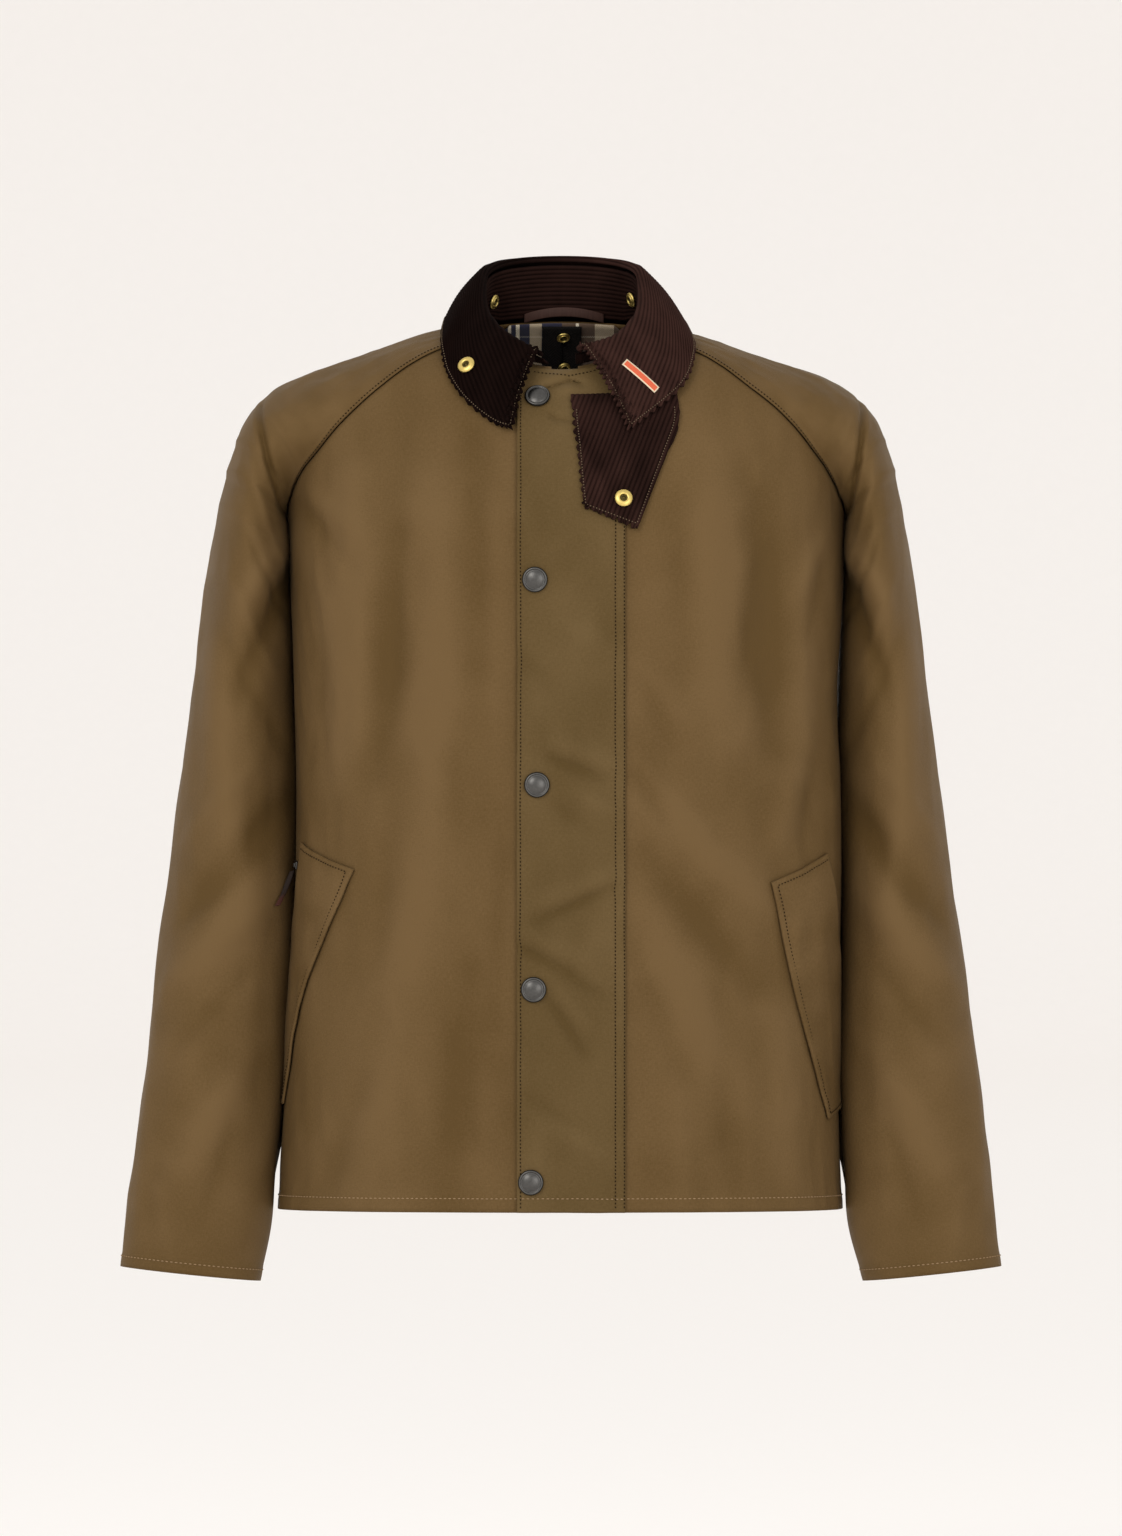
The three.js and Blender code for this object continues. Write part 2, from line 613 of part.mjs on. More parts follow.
// Where a surface passes x and z in front view, found from a first guess
function placeAt(surface, x, z, guess) {
  const at = [...guess], d = 0.01;
  for (let turn = 0; turn < 12; turn++) {
    const p = surface(...at), pa = surface(at[0] + d, at[1]), pb = surface(at[0], at[1] + d);
    const [ax, az, bx, bz] = [pa.x - p.x, pa.z - p.z, pb.x - p.x, pb.z - p.z].map((v) => v / d);
    const det = ax * bz - bx * az, [ex, ez] = [x - p.x, z - p.z];
    at[0] += THREE.MathUtils.clamp((ex * bz - bx * ez) / det, -0.5, 0.5);
    at[1] += THREE.MathUtils.clamp((ax * ez - ex * az) / det, -0.2, 0.2);
  }
  return at;
}

// Back lining where it shows inside the neck, between the raglan seams
const LINING = [
  [-118, 150],
  [-76, 128],
  [-36, 96],
  [-2, 62],
  [15, 40],
];
const LINING_THICK = 1;
const LINING_BACK = CLOTH + 1.8;
const inBack = (x, z) => {
  const side = x < 0 ? -1 : 1;
  return bodySurface(side, -bodyAngle(side, Math.abs(x), z), z);
};
function backLining() {
  const surface = (a, b) => inBack(-a * read(LINING, -b)[0], -b);
  const top = -LINING[LINING.length - 1][0], foot = -LINING[0][0];
  return clothWall(surface, spread(12, -1, 1), spread(8, top, foot), LINING_THICK,
    -LINING_BACK - LINING_THICK, [0.01, 1]);
}

// Neck tape down the middle of the lining, and the hanger loop above it
const TAPE_HALF = 15;
const TAPE_THICK = 1;
const TAPE_BACK = LINING_BACK + LINING_THICK + 0.8;
const neckTape = () => clothWall((a, b) => inBack(-a, -b), spread(2, -TAPE_HALF, TAPE_HALF),
  spread(6, -17, 40), TAPE_THICK, -TAPE_BACK - TAPE_THICK, [0.5, 0.5]);

const LOOP = { middle: 1.5, half: 30.5, top: 27, drop: 5, width: 7, depth: 42.9, bow: 7 };
function hangerLoop() {
  const surface = (a, b) => point(LOOP.middle + a * LOOP.half,
    LOOP.depth - LOOP.bow * (1 - a * a), LOOP.top - LOOP.drop * a * a - b * LOOP.width);
  return clothWall(surface, spread(12, -1, 1), spread(1), 1.2, 0, [0.01, 0.01]);
}

// A plain label across the left-hand leaf, from its upper to its lower end
const LABEL = { x0: 47, z0: -18.5, x1: 71.5, z1: -40, width: 5.5, thick: 0.6 };
function leafLabel() {
  const run = Math.hypot(LABEL.x1 - LABEL.x0, LABEL.z1 - LABEL.z0);
  const [dx, dz] = [(LABEL.x1 - LABEL.x0) / run, (LABEL.z1 - LABEL.z0) / run];
  const surface = (a, b) => {
    const x = LABEL.x0 + dx * a + dz * b, z = LABEL.z0 + dz * a - dx * b;
    return fallSurface(...placeAt(fallSurface, x, z, [6.5, 0.5]));
  };
  return clothWall(surface, spread(4, 0, run), spread(1, -LABEL.width / 2, LABEL.width / 2),
    LABEL.thick, WALE_RISE + 0.4, [0.5, 0.5]);
}

// A round fitting turned from a profile of radius and height, set on a place with its face outwards
function fitting(profile, place, out, sides = 14) {
  const outline = profile.map(([radius, height]) => new THREE.Vector2(radius, height));
  const geometry = new THREE.LatheGeometry(outline, sides);
  const turn = new THREE.Quaternion().setFromUnitVectors(point(0, 1, 0), out);
  return geometry.applyQuaternion(turn).translate(place.x, place.y, place.z);
}
const capProfile = [
  [0, 0], [CAP_RADIUS - 1, 0], [CAP_RADIUS, 0.7], [CAP_RADIUS, CAP_HEIGHT - 1],
  [CAP_RADIUS - 1, CAP_HEIGHT - 0.2], [CAP_RADIUS - 2.2, CAP_HEIGHT - 0.8],
  [CAP_RADIUS - 3, CAP_HEIGHT], [0, CAP_HEIGHT],
];
const socketProfile = (radius) => [
  [0, 0], [radius, 0], [radius, SOCKET_HEIGHT - 1.2], [radius - 1.2, SOCKET_HEIGHT - 0.3],
  [3.2, SOCKET_HEIGHT], [2.4, SOCKET_HEIGHT - 1], [0, SOCKET_HEIGHT - 1],
];

function snapCap([x, z]) {
  const out = outward((a, b) => frontPoint(a, -b), x, -z, 1, 1);
  return fitting(capProfile, shift(frontPoint(x, z), out, FLAP_LIFT + 0.5), out);
}
function socketOn(surface, x, z, guess, radius, step, lift = 0.5) {
  const [a, b] = placeAt(surface, x, z, guess);
  const out = outward(surface, a, b, ...step);
  return fitting(socketProfile(radius), shift(surface(a, b), out, WALE_RISE + lift), out);
}
function tapeStud(z) {
  const out = outward((a, b) => inBack(-a, -b), 0, -z, 0.5, 0.5).negate();
  return fitting(socketProfile(STUD_RADIUS), shift(inBack(0, z), out, TAPE_BACK + TAPE_THICK + 0.4), out);
}

// Zip slider at the side behind the right-hand welt, and its limp puller hanging out past the edge
const SLIDER = { angle: 7, z: -399, width: 6, height: 9, thick: 2.6 };
const PULLER = { from: [-205.2, -22.5, -404.2], to: [-216, -37, -430], width: 3.8, thick: 1.2 };
function pullSlider() {
  const surface = (a, b) => bodySurface(-1, SLIDER.angle + a, -b);
  const half = SLIDER.width / 4;
  return clothWall(surface, [-half, half], [-SLIDER.z - SLIDER.height / 2,
    -SLIDER.z + SLIDER.height / 2], SLIDER.thick, -0.5, [0.4, 2]);
}
function puller() {
  const from = point(...PULLER.from), to = point(...PULLER.to);
  const across = point(-1, 0, -0.35).normalize().multiplyScalar(-PULLER.width / 2);
  return clothWall((a, b) => shift(blend(from, to, b), across, a), [-1, 1], spread(2), PULLER.thick, 0,
    [0.5, 0.2]);
}

const group = new THREE.Group();
function add(name, geometry, slot) {
  const [color, roughness, metalness] = COLOURS[slot];
  const mesh = new THREE.Mesh(geometry, new THREE.MeshStandardMaterial({ color, roughness, metalness }));
  mesh.name = name;
  group.add(mesh);
}

add("front_right", frontPanel(-1), "cotton");
add("front_left", frontPanel(1), "cotton");
add("back_panel", backPanel(), "cotton");
add("sleeve_right", sleevePanel(-1), "cotton");
add("sleeve_left", sleevePanel(1), "cotton");
add("storm_flap", stormFlap(), "flap");
add("collar_stand", collarStand(), "corduroy");
add("collar_fall", collarFall(), "corduroy");
add("throat_tab", throatTab(), "corduroy");
add("pocket_welt_right", pocketWelt(-1, WELT_RIGHT), "cotton");
add("pocket_welt_left", pocketWelt(1, WELT_LEFT), "cotton");
add("back_lining", backLining(), "lining");
add("neck_tape", neckTape(), "tape");
add("hanger_loop", hangerLoop(), "satin");
add("leaf_label", leafLabel(), "label");
CAPS.forEach((place, i) => add(`snap_cap_${i + 1}`, snapCap(place), "gunmetal"));
add("leaf_socket", socketOn(fallSurface, -72, -20.5, [-5.5, 0.6], SOCKET_RADIUS, [-0.02, 0.01]), "brass");
add("tab_socket", socketOn(tabPoint, 46.4, -122, [0.7, 0.85], SOCKET_RADIUS, [0.01, 0.01]), "brass");
add("stand_socket_right", socketOn(standSurface, -53.5, 31.5, [-2.6, 0.5], SOCKET_RADIUS - 1,
  [0.02, 0.01], 0.9), "brass");
add("stand_socket_left", socketOn(standSurface, 54.5, 33, [2.6, 0.5], SOCKET_RADIUS - 1,
  [0.02, 0.01], 0.9), "brass");
add("tape_stud_upper", tapeStud(9.4), "brass");
add("tape_stud_lower", tapeStud(-15), "brass");
add("pull_slider", pullSlider(), "gunmetal");
add("pull_tab", puller(), "leather");

export default group;
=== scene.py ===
"""Waxed cotton jacket with raglan sleeves and a corduroy collar, filled out as worn."""

import math
from functools import partial

import bmesh
import bpy
import numpy as np
from bpy.props import FloatProperty, FloatVectorProperty, PointerProperty
from mathutils import Matrix, Vector


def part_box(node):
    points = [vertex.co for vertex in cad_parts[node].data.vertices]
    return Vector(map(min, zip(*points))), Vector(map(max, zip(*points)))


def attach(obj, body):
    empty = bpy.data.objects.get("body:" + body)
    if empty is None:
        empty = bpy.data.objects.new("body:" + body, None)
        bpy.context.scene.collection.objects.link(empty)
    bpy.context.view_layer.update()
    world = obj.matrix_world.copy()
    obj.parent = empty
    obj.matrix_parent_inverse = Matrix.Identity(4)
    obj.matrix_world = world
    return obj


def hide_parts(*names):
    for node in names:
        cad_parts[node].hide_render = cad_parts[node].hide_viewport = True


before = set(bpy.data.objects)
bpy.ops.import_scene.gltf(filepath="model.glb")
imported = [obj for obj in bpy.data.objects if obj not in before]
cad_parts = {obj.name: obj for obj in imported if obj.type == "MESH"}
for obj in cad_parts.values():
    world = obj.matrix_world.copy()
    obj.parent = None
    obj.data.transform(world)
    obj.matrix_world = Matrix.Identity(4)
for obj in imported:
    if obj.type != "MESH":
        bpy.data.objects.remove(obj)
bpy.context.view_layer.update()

bl_info = {
    "name": "Waxed Cotton Jacket",
    "version": (1, 0, 0),
    "blender": (4, 5, 0),
    "location": "View3D > Sidebar > Jacket",
    "description": "Builds a waxed cotton jacket with its collar, pockets and fittings",
    "category": "Add Mesh",
}

# Everything below is in millimetres until a mesh is written. +Z is up and the front faces -Y.
MM = 0.001
HEM_Z = -661.0
SQUARENESS = 2.4
SIDE_SEAM_ANGLE = -4.0
SIDE_GAP_ANGLE = 0.12
NECK_FRONT_Z = -21.0
NECK_BACK_Z = 17.0
# Shares of half the neck ring at which the front's part ends, then the sleeve's
NECK_SHARES = (0.34, 0.76)
UNDERARM = 9.0
CUFF = 21.0
STEP_MM = 52.0
# How far a sleeve is filled out, by side: behind, then all along where it faces the body
SLEEVE_FULLNESS = {-1: 11.0, 1: 15.0}
SLEEVE_INWARD = {-1: 5.6, 1: 5.0}
AROUND_MM = 190.0
ANGLE_MM = 3.7
# By how much the creases of a table are deepened
FRONT_CREASING = 1.35
BACK_CREASING = 1.2
# The angle at which the dents of the back begin, far from those of the front
BACK_START = 590
HEM_STITCH = 10.5
# Stitch lengths of the hems and of the collar's edges
PALE_STITCH = 2.6
FINE_STITCH = 1.3

FLAP_EDGE_X = -34.0
FLAP_SEAM_X = 48.0
FLAP_THICK = 2.0
FLAP_LIFT = 2.8
FLAP_DROP = 4.0
FLAP_CREASING = 1.7
# The deepest dent in the flap, then its two sewn grooves, measured from the seam
FLAP_SINK = -1.9
FLAP_GROOVES = (7.9, 1.2)
GROOVE_WIDTH = 1.7
# Centre edges of the two fronts, by side, and the share of each panel's top that lies on the neck ring
FRONT_EDGE_X = {-1: 8.0, 1: 12.0}
FRONT_NECK_SHARE = 0.2
BACK_NECK_SHARE = 0.15

COLLAR_THICK = 2.0
STAND_THICK = 1.6
WELT_THICK = 1.6
COLLAR_ENDS = 9.0
ROLL_RADIUS = 4.5
# The way across the wales in front view, in x and z: on the two leaves, then on the throat tab
LEAF_WALES = (0.93, -0.36)
TAB_ALONG = (0.934, -0.356)
TAB_SCALLOPS = (6.2, 5.6)
# Steps along and down a surface that are short enough to find its way out, turned outwards
FALL_STEP = (-0.02, 0.01)
STAND_STEP = (0.02, 0.01)
TAB_STEP = (0.01, 0.01)
WELT_STEP = (0.01, 0.01)
FLAP_STEP = (0.5, 0.002)

# Body sections. Height; half widths at -X and +X; front and back depths
BODY = [
    (-661, 216.5, 213.2, 122, 127),
    (-620, 214.6, 212, 123, 126),
    (-560, 210.2, 210.2, 124, 123),
    (-500, 207.6, 211, 125, 120),
    (-440, 203.8, 212.4, 126, 118),
    (-380, 202.6, 213, 127, 117),
    (-330, 202.6, 212.2, 128, 117),
    (-270, 204.2, 210, 129, 119),
    (-200, 206.5, 214, 130, 121),
    (-140, 209, 215.4, 128, 121),
    (-100, 210.5, 216.5, 116, 116),
    (-64, 211, 217, 99, 105),
    (-36, 211, 217, 80, 92),
    (-20, 211, 217, 66, 81),
    (0, 211, 217, 45, 64),
    (20, 211, 217, 26, 42),
]

# Raglan seams from the neck (step 0) to the side seam (step 9). Front seam: height, half widths at
# -X and +X; back seam the same; the sleeve's ridge: half width and height at -X, then at +X
RAGLAN = [
    (0, 1.5, 65, 65, 14.5, 49, 49, 68, 14, 68, 14),
    (1, -8, 95, 99, -2, 80, 82, 99, 7.4, 97, 6),
    (2, -20, 117, 121, -18, 104, 107, 122, 0.2, 120, -1),
    (3, -36, 138, 142, -36, 127, 131, 150, -9.5, 148, -10.3),
    (4, -51, 155, 161, -55, 148, 153, 178, -19.3, 176, -19.9),
    (5, -67, 171, 177, -76, 166, 171, 202, -28.9, 200, -28.9),
    (6, -84, 185, 190.5, -97, 182, 187, 222, -40, 220, -40.3),
    (7, -100, 198, 202, -117, 196, 201, 236, -53.5, 234, -53),
    (8, -118, 206.5, 211, -131, 206, 212, 247, -73, 245, -73),
    (9, -139, 208.6, 215, -139, 208.6, 215, 257.5, -105, 255, -105),
]

# Sleeve head. Step; how far each side wraps round, in degrees; half depth past step 7
SLEEVE_HEAD = [
    (0, 60, 53),
    (1, 62, 62),
    (2, 67, 71),
    (3, 75, 75),
    (4, 88, 74),
    (5, 104, 75),
    (6, 121, 77),
    (7, 138, 80.7),
    (8, 155.5, 84.4),
    (9, 180, 86),
]

# Sleeve below the underarm. Step; outer half widths at -X and +X, their height; inner half widths,
# their height; middle from front to back; half depth
SLEEVE = [
    (9, 257.5, 255, -105, 208.6, 215, -139, 13, 86),
    (10, 263.7, 261.4, -138, 211.6, 218.4, -171, 17, 87),
    (11, 270, 267.7, -177, 210.6, 218, -206, 20, 86),
    (12, 277, 274, -222, 209, 216.5, -246, 22, 83),
    (13, 284, 281, -277, 207.6, 215.2, -296, 23, 79),
    (14, 291.8, 288.8, -335, 206.6, 216.4, -350, 21, 74),
    (15, 298, 295.5, -392, 207.6, 218, -406, 17, 69),
    (16, 305, 302.5, -448, 208.8, 217.6, -460, 12, 64),
    (17, 311.5, 310, -504, 212.6, 216.6, -515, 6, 59),
    (18, 318, 317.4, -560, 216, 215.8, -570, 0, 54),
    (19, 325.3, 324, -614, 218.4, 215.6, -624, -6, 49),
    (20, 331.5, 329, -661, 221, 217.5, -671, -11, 44.5),
    (21, 336, 333.6, -704.5, 230, 229.5, -715.5, -15, 41),
]

# Folds on the front: from x, z to x, z seen from the front; width; rise, negative for a trough
FRONT_FOLDS = [
    (-123, -150, -138, -330, 15, -5),
    (-160, -110, -172, -330, 18, 4.5),
    (-95, -110, -98, -400, 20, 4),
    (-68, -70, -62, -250, 14, -3),
    (-110, -430, -150, -640, 22, 4),
    (-70, -480, -88, -650, 18, -3),
    (62, -350, 155, -430, 14, 4),
    (62, -390, 145, -490, 13, -4),
    (66, -440, 135, -580, 17, 4),
    (112, -90, 120, -300, 20, 4),
    (152, -120, 160, -310, 14, -4.5),
    (186, -160, 182, -330, 12, 3),
    (165, -520, 172, -650, 16, 3),
]

# Smaller creases on the front, in the same form
FRONT_CREASES = [
    (62, -258, 82, -308, 8, -1.6),
    (58, -248, 96, -292, 9, 1.3),
    (54, -330, 78, -366, 6, -1.7),
    (78, -366, 100, -404, 7, -1.4),
    (60, -322, 104, -372, 8, 1.4),
    (56, -470, 92, -560, 8, -1.5),
    (176, -326, 164, -384, 9, 1.8),
    (190, -320, 186, -392, 8, -2),
    (-196, -112, -150, -150, 8, 1.6),
    (-198, -126, -160, -172, 7, -1.8),
    (-196, -150, -176, -212, 8, 1.5),
    (-184, -230, -178, -330, 9, -2),
    (-150, -190, -152, -300, 9, 1.4),
    (-112, -128, -118, -236, 8, 1.2),
    (-52, -120, -50, -330, 9, 1.3),
    (-44, -360, -50, -520, 8, -1.2),
    (-80, -290, -86, -430, 9, -1.4),
    (-128, -350, -140, -470, 10, -1.5),
    (-152, -560, -176, -640, 10, -1.8),
    (-60, -560, -56, -640, 9, 1.2),
    (118, -500, 128, -640, 10, -1.6),
    (86, -560, 92, -645, 9, 1.4),
    (142, -170, 140, -262, 9, -1.3),
    (88, -150, 92, -250, 10, -1.2),
    (196, -150, 176, -196, 7, 1.4),
    (198, -172, 184, -230, 7, -1.6),
]

# Creases on the storm flap
FLAP_CREASES = [
    (-12, -38.5, 5, -33.5, 2.8, -1.9),
    (5, -33.5, 15, -36.5, 2.5, -2.1),
    (-14, -34, 6, -29, 4, 1.5),
    (-2, -40, 12, -39, 4, 1.2),
    (-10, -58, -4, -63, 3, -1.2),
    (-4, -63, 7, -64, 3, -1.1),
    (-10, -318, 30, -334, 5, -1.7),
    (-4, -306, 36, -322, 7, 1.2),
    (10, -344, 40, -360, 6, 1.0),
    (-12, -350, 22, -374, 6, -0.8),
    (36, -416, -18, -441, 5.5, -1.8),
    (42, -404, -10, -428, 8, 1.3),
    (-32, -461, 5, -481, 5, -1.7),
    (5, -481, 29, -498, 5, -1.4),
    (-28, -450, 14, -470, 7, 1.2),
    (-11, -501, 5, -523, 5, -1.6),
    (5, -523, 17, -543, 5, -1.4),
    (-2, -494, 18, -520, 6, 1.1),
    (-30, -240, -12, -262, 7, -0.9),
    (4, -216, 34, -236, 8, 0.9),
    (-26, -574, 8, -596, 7, -1.0),
    (2, -600, 36, -622, 8, 1.0),
]

# Folds on the back, seen from the front too
BACK_FOLDS = [
    (-80, -90, -96, -400, 22, 4),
    (0, -150, 2, -520, 28, -4.5),
    (86, -95, 104, -420, 22, 4),
    (-140, -140, -152, -360, 16, -5),
    (142, -150, 150, -340, 16, -4.5),
    (-45, -420, -70, -645, 20, 4),
    (52, -470, 60, -650, 20, 4),
    (-176, -150, -178, -320, 14, 3.5),
    (130, -450, 160, -620, 18, -3.5),
    (-120, -500, -130, -650, 18, -3),
]
BACK_CREASES = [
    (-190, -150, -130, -196, 9, 1.9),
    (-192, -168, -140, -226, 8, -2),
    (192, -150, 136, -190, 9, 1.8),
    (194, -172, 146, -232, 8, -2),
    (-60, -60, 40, -72, 10, 1.2),
    (-40, -84, 62, -96, 9, -1.3),
    (-30, -180, -38, -330, 11, 1.7),
    (40, -160, 46, -300, 10, -1.5),
    (28, -330, 20, -500, 12, 1.8),
    (-96, -300, -104, -470, 11, -1.7),
    (112, -330, 106, -470, 10, -1.6),
    (-150, -420, -168, -560, 11, 1.8),
    (92, -520, 98, -645, 10, -1.5),
    (-20, -540, -24, -650, 10, 1.4),
    (150, -300, 168, -430, 10, 1.7),
    (-90, -560, -98, -648, 9, 1.3),
]

# Folds on a sleeve: from step, share of the way round (-1 the front seam, 1 the back) to step, share
SLEEVE_FOLDS = [
    (6.8, -0.26, 8.7, -0.86, 11, -3.2),
    (7, 0.3, 8.2, 0.66, 13, -3),
    (9.2, -0.9, 11.4, -0.45, 16, 5),
    (10, -0.95, 12.6, -0.5, 14, -5),
    (9.4, 0.92, 11.8, 0.45, 16, 5),
    (10.6, 0.95, 13, 0.5, 14, -4.5),
    (12.4, -0.3, 15.6, -0.6, 20, 4.5),
    (14, -0.85, 15.6, -0.3, 15, -4.5),
    (15.2, -0.8, 16.8, -0.2, 15, 4),
    (14.2, 0.7, 15.4, 0.2, 15, -4),
    (15, 0.75, 16.8, 0.3, 16, 4),
    (17.4, -0.7, 19.6, -0.35, 16, 3.5),
    (17.8, 0.4, 20, 0.65, 16, 3.5),
]
SLEEVE_CREASES = [
    (6.3, -0.12, 8.6, -0.84, 4.5, -1.1),
    (6.6, -0.1, 8.8, -0.76, 6, 0.9),
    (7.6, -0.5, 8.8, -0.88, 7, -1.8),
    (8.4, -0.45, 10.2, -0.86, 8, 1.8),
    (9.9, -0.5, 11.2, -0.9, 7, -2),
    (10.8, -0.35, 12.2, -0.75, 9, 1.6),
    (12, -0.4, 13.4, -0.85, 9, -1.8),
    (8.9, 0.4, 10.4, 0.85, 9, -2),
    (11.6, 0.3, 13.2, 0.8, 9, 1.8),
    (10.2, 0.05, 12.6, -0.12, 10, 1.3),
    (12.2, 0.1, 14.4, -0.06, 10, -1.4),
    (13.6, -0.62, 14.8, -0.2, 8, 1.6),
    (14.8, -0.7, 15.9, -0.24, 8, -2),
    (15.6, 0.08, 17.6, -0.16, 10, 1.4),
    (16.4, -0.66, 17.6, -0.3, 8, -1.8),
    (13.4, 0.62, 14.8, 0.25, 9, -1.7),
    (15.8, 0.62, 17.2, 0.2, 9, -1.7),
    (17.6, -0.1, 20.4, -0.22, 11, 1.2),
    (18.6, -0.62, 20.2, -0.5, 8, -1.5),
    (18.4, 0.2, 20.5, 0.32, 9, -1.3),
    (19.6, -0.3, 20.8, -0.4, 7, 1.1),
    (3.2, -0.2, 5.6, -0.35, 14, 1.2),
    (2.4, 0.3, 5, 0.36, 14, -1.2),
    (4.6, 0.1, 6.6, 0.14, 12, 1.2),
]

# The same folds in millimetres down the sleeve and round it
SLEEVE_TABLE = [
    (s0 * STEP_MM, a0 * AROUND_MM, s1 * STEP_MM, a1 * AROUND_MM, width, rise)
    for s0, a0, s1, a1, width, rise in SLEEVE_FOLDS + SLEEVE_CREASES
]

# Collar stations from the end at -X (-9) round the back (0) to the other end (9). Share of the neck
# ring; the fold's x, y, z; the free edge's x and z; the edge's depth, 0 where it lies on the front
COLLAR = [
    (-9, 0.055, -14.4, -75, -14.5, -37, -70, 0),
    (-8, 0.15, -27, -72, -7.5, -50, -66, 0),
    (-7, 0.25, -39.5, -63, 0.5, -65, -55.5, 0),
    (-6, 0.35, -49.5, -49, 10, -78, -42, -80),
    (-5, 0.46, -56, -31, 22, -88, -24, -69),
    (-4, 0.57, -58, -10, 37, -92, -3, -52),
    (-3, 0.68, -56, 10, 50, -89.5, 15.5, -2),
    (-2, 0.79, -45, 32, 57, -80, 9.5, 51),
    (-1, 0.9, -24.5, 46, 60.5, -48, -7, 79),
    (0, 1, 0, 50, 61.5, 0, -13, 85.5),
    (1, 0.9, 24.5, 46, 60.5, 48, -7, 79),
    (2, 0.79, 45, 32, 57, 80, 9.5, 51),
    (3, 0.68, 56, 10, 50.5, 92, 15, -2),
    (4, 0.57, 58, -10, 37, 101, -3, -50),
    (5, 0.46, 56.5, -31, 22, 99, -21, -71),
    (6, 0.35, 50, -49, 10, 92.5, -35, -82),
    (7, 0.25, 38, -63, -1, 81, -46.5, 0),
    (8, 0.15, 24, -72, -6.5, 66, -58.5, 0),
    (9, 0.055, 10, -75, -10, 49.4, -71.4, 0),
]

# Throat tab: share of its length; left and right edges in x and z
TAB = [
    (0, 6.5, -43, 87, -40),
    (0.25, 8, -64, 88.5, -62),
    (0.5, 11, -86, 79.5, -87),
    (0.75, 13.5, -108, 69, -114),
    (1, 16.5, -128.5, 56.5, -146),
]

# Pocket welts: share of the length; angle and height of the slit edge, then of the back edge
WELT_RIGHT = [
    (0, 43, -402, 16, -382),
    (0.25, 35, -441, 9, -428),
    (0.5, 25, -486, 1, -475),
    (0.75, 16, -533, -7, -525),
    (1, 8, -581, -14, -576),
]
WELT_LEFT = [
    (0, 46, -412, 22, -390),
    (0.25, 41, -462, 13, -437),
    (0.5, 35, -512, 6, -484),
    (0.75, 28, -553, 0, -531),
    (1, 19.5, -592, -5, -578),
]

# Snap caps down the flap: x, z
CAPS = [(-18.5, -46), (-20.2, -183), (-19.1, -338), (-21.4, -492.5), (-23.5, -638)]

# Back lining inside the neck: height, half width
LINING = [(-118, 150), (-76, 128), (-36, 96), (-2, 62), (15, 40)]
LINING_THICK = 1.0
LINING_BACK = 3.4
TAPE_HALF = 15.0
TAPE_THICK = 1.0
TAPE_BACK = LINING_BACK + LINING_THICK + 0.8
LOOP = {
    "middle": 1.5, "half": 30.5, "top": 27, "drop": 5, "width": 7, "depth": 42.9, "bow": 7, "thick": 0.9,
}
LABEL = {"from": (47, -18.5), "to": (71.5, -40), "width": 5.5, "thick": 0.6}
SLIDER = {"angle": 7, "z": -399}
PULLER_FROM = (-205.2, -22.5, -404.2)
PULLER_TO = (-216, -37, -430)

# The stage, in metres. Camera to jacket, and the height that the photo shows there
CAMERA_AWAY = 12.0
VIEW_HEIGHT = 1.16736
FLOOR_REACH = 26
FLOOR_Z = -1.0
WALL_HEIGHT = 14
# Soft lights, all aimed at the middle of the jacket: name, place, width, watts, colour
AIM = (0, 0, -0.33)
LIGHTS = [
    ("key_softbox", (-1.9, -3.6, 1.6), 1.8, 62, (1, 0.985, 0.96)),
    ("fill_softbox", (2.0, -3.8, 0.2), 2.0, 38, (1, 0.99, 0.975)),
]


# Measures and surfaces


def mix(a, b, t):
    return a + (b - a) * t


def smooth(x, low, high):
    t = np.clip((np.asarray(x, float) - low) / (high - low), 0, 1)
    return t * t * (3 - 2 * t)


def stacked(x, y, z):
    return np.stack(np.broadcast_arrays(x, y, z), axis=-1).astype(float)


def unit(v):
    return v / np.maximum(np.linalg.norm(v, axis=-1, keepdims=True), 1e-9)


def read(table, key):
    """Rows of a table at the keys, on a smooth curve between its rows."""
    rows = np.array(table, float)
    keys, values = rows[:, 0], rows[:, 1:]
    last = len(keys) - 1
    low, high = np.maximum(np.arange(last + 1) - 1, 0), np.minimum(np.arange(last + 1) + 1, last)
    slope = (values[high] - values[low]) / (keys[high] - keys[low])[:, None]
    key = np.clip(np.asarray(key, float), keys[0], keys[-1])
    i = np.clip(np.searchsorted(keys, key, side="right") - 1, 0, last - 1)
    run = (keys[i + 1] - keys[i])[..., None]
    t = (key - keys[i])[..., None] / run
    t2, t3 = t * t, t * t * t
    return (
        (2 * t3 - 3 * t2 + 1) * values[i]
        + (3 * t2 - 2 * t3) * values[i + 1]
        + run * ((t3 - 2 * t2 + t) * slope[i] + (t3 - t2) * slope[i + 1])
    )


def laid_across(table, along, across):
    """A table's row at a length, between its left and right edges."""
    row = read(table, along)
    return mix(row[..., 0], row[..., 2], across), mix(row[..., 1], row[..., 3], across)


def hump(x, middle, width):
    """1 at the middle, falling to nothing a little past the width on either side."""
    return np.exp(-(((x - middle) / width) ** 2))


def folded(folds, a, b):
    """How far the folds of a table raise the cloth at places in its plane."""
    total = np.zeros(np.broadcast(a, b).shape)
    for a0, b0, a1, b1, width, rise in folds:
        da, db = a1 - a0, b1 - b0
        along = np.clip(((a - a0) * da + (b - b0) * db) / (da * da + db * db), 0, 1)
        away = np.hypot(a - a0 - da * along, b - b0 - db * along) / width
        total += rise * np.exp(-away * away) * (0.55 + 0.45 * np.sin(math.pi * along))
    return total


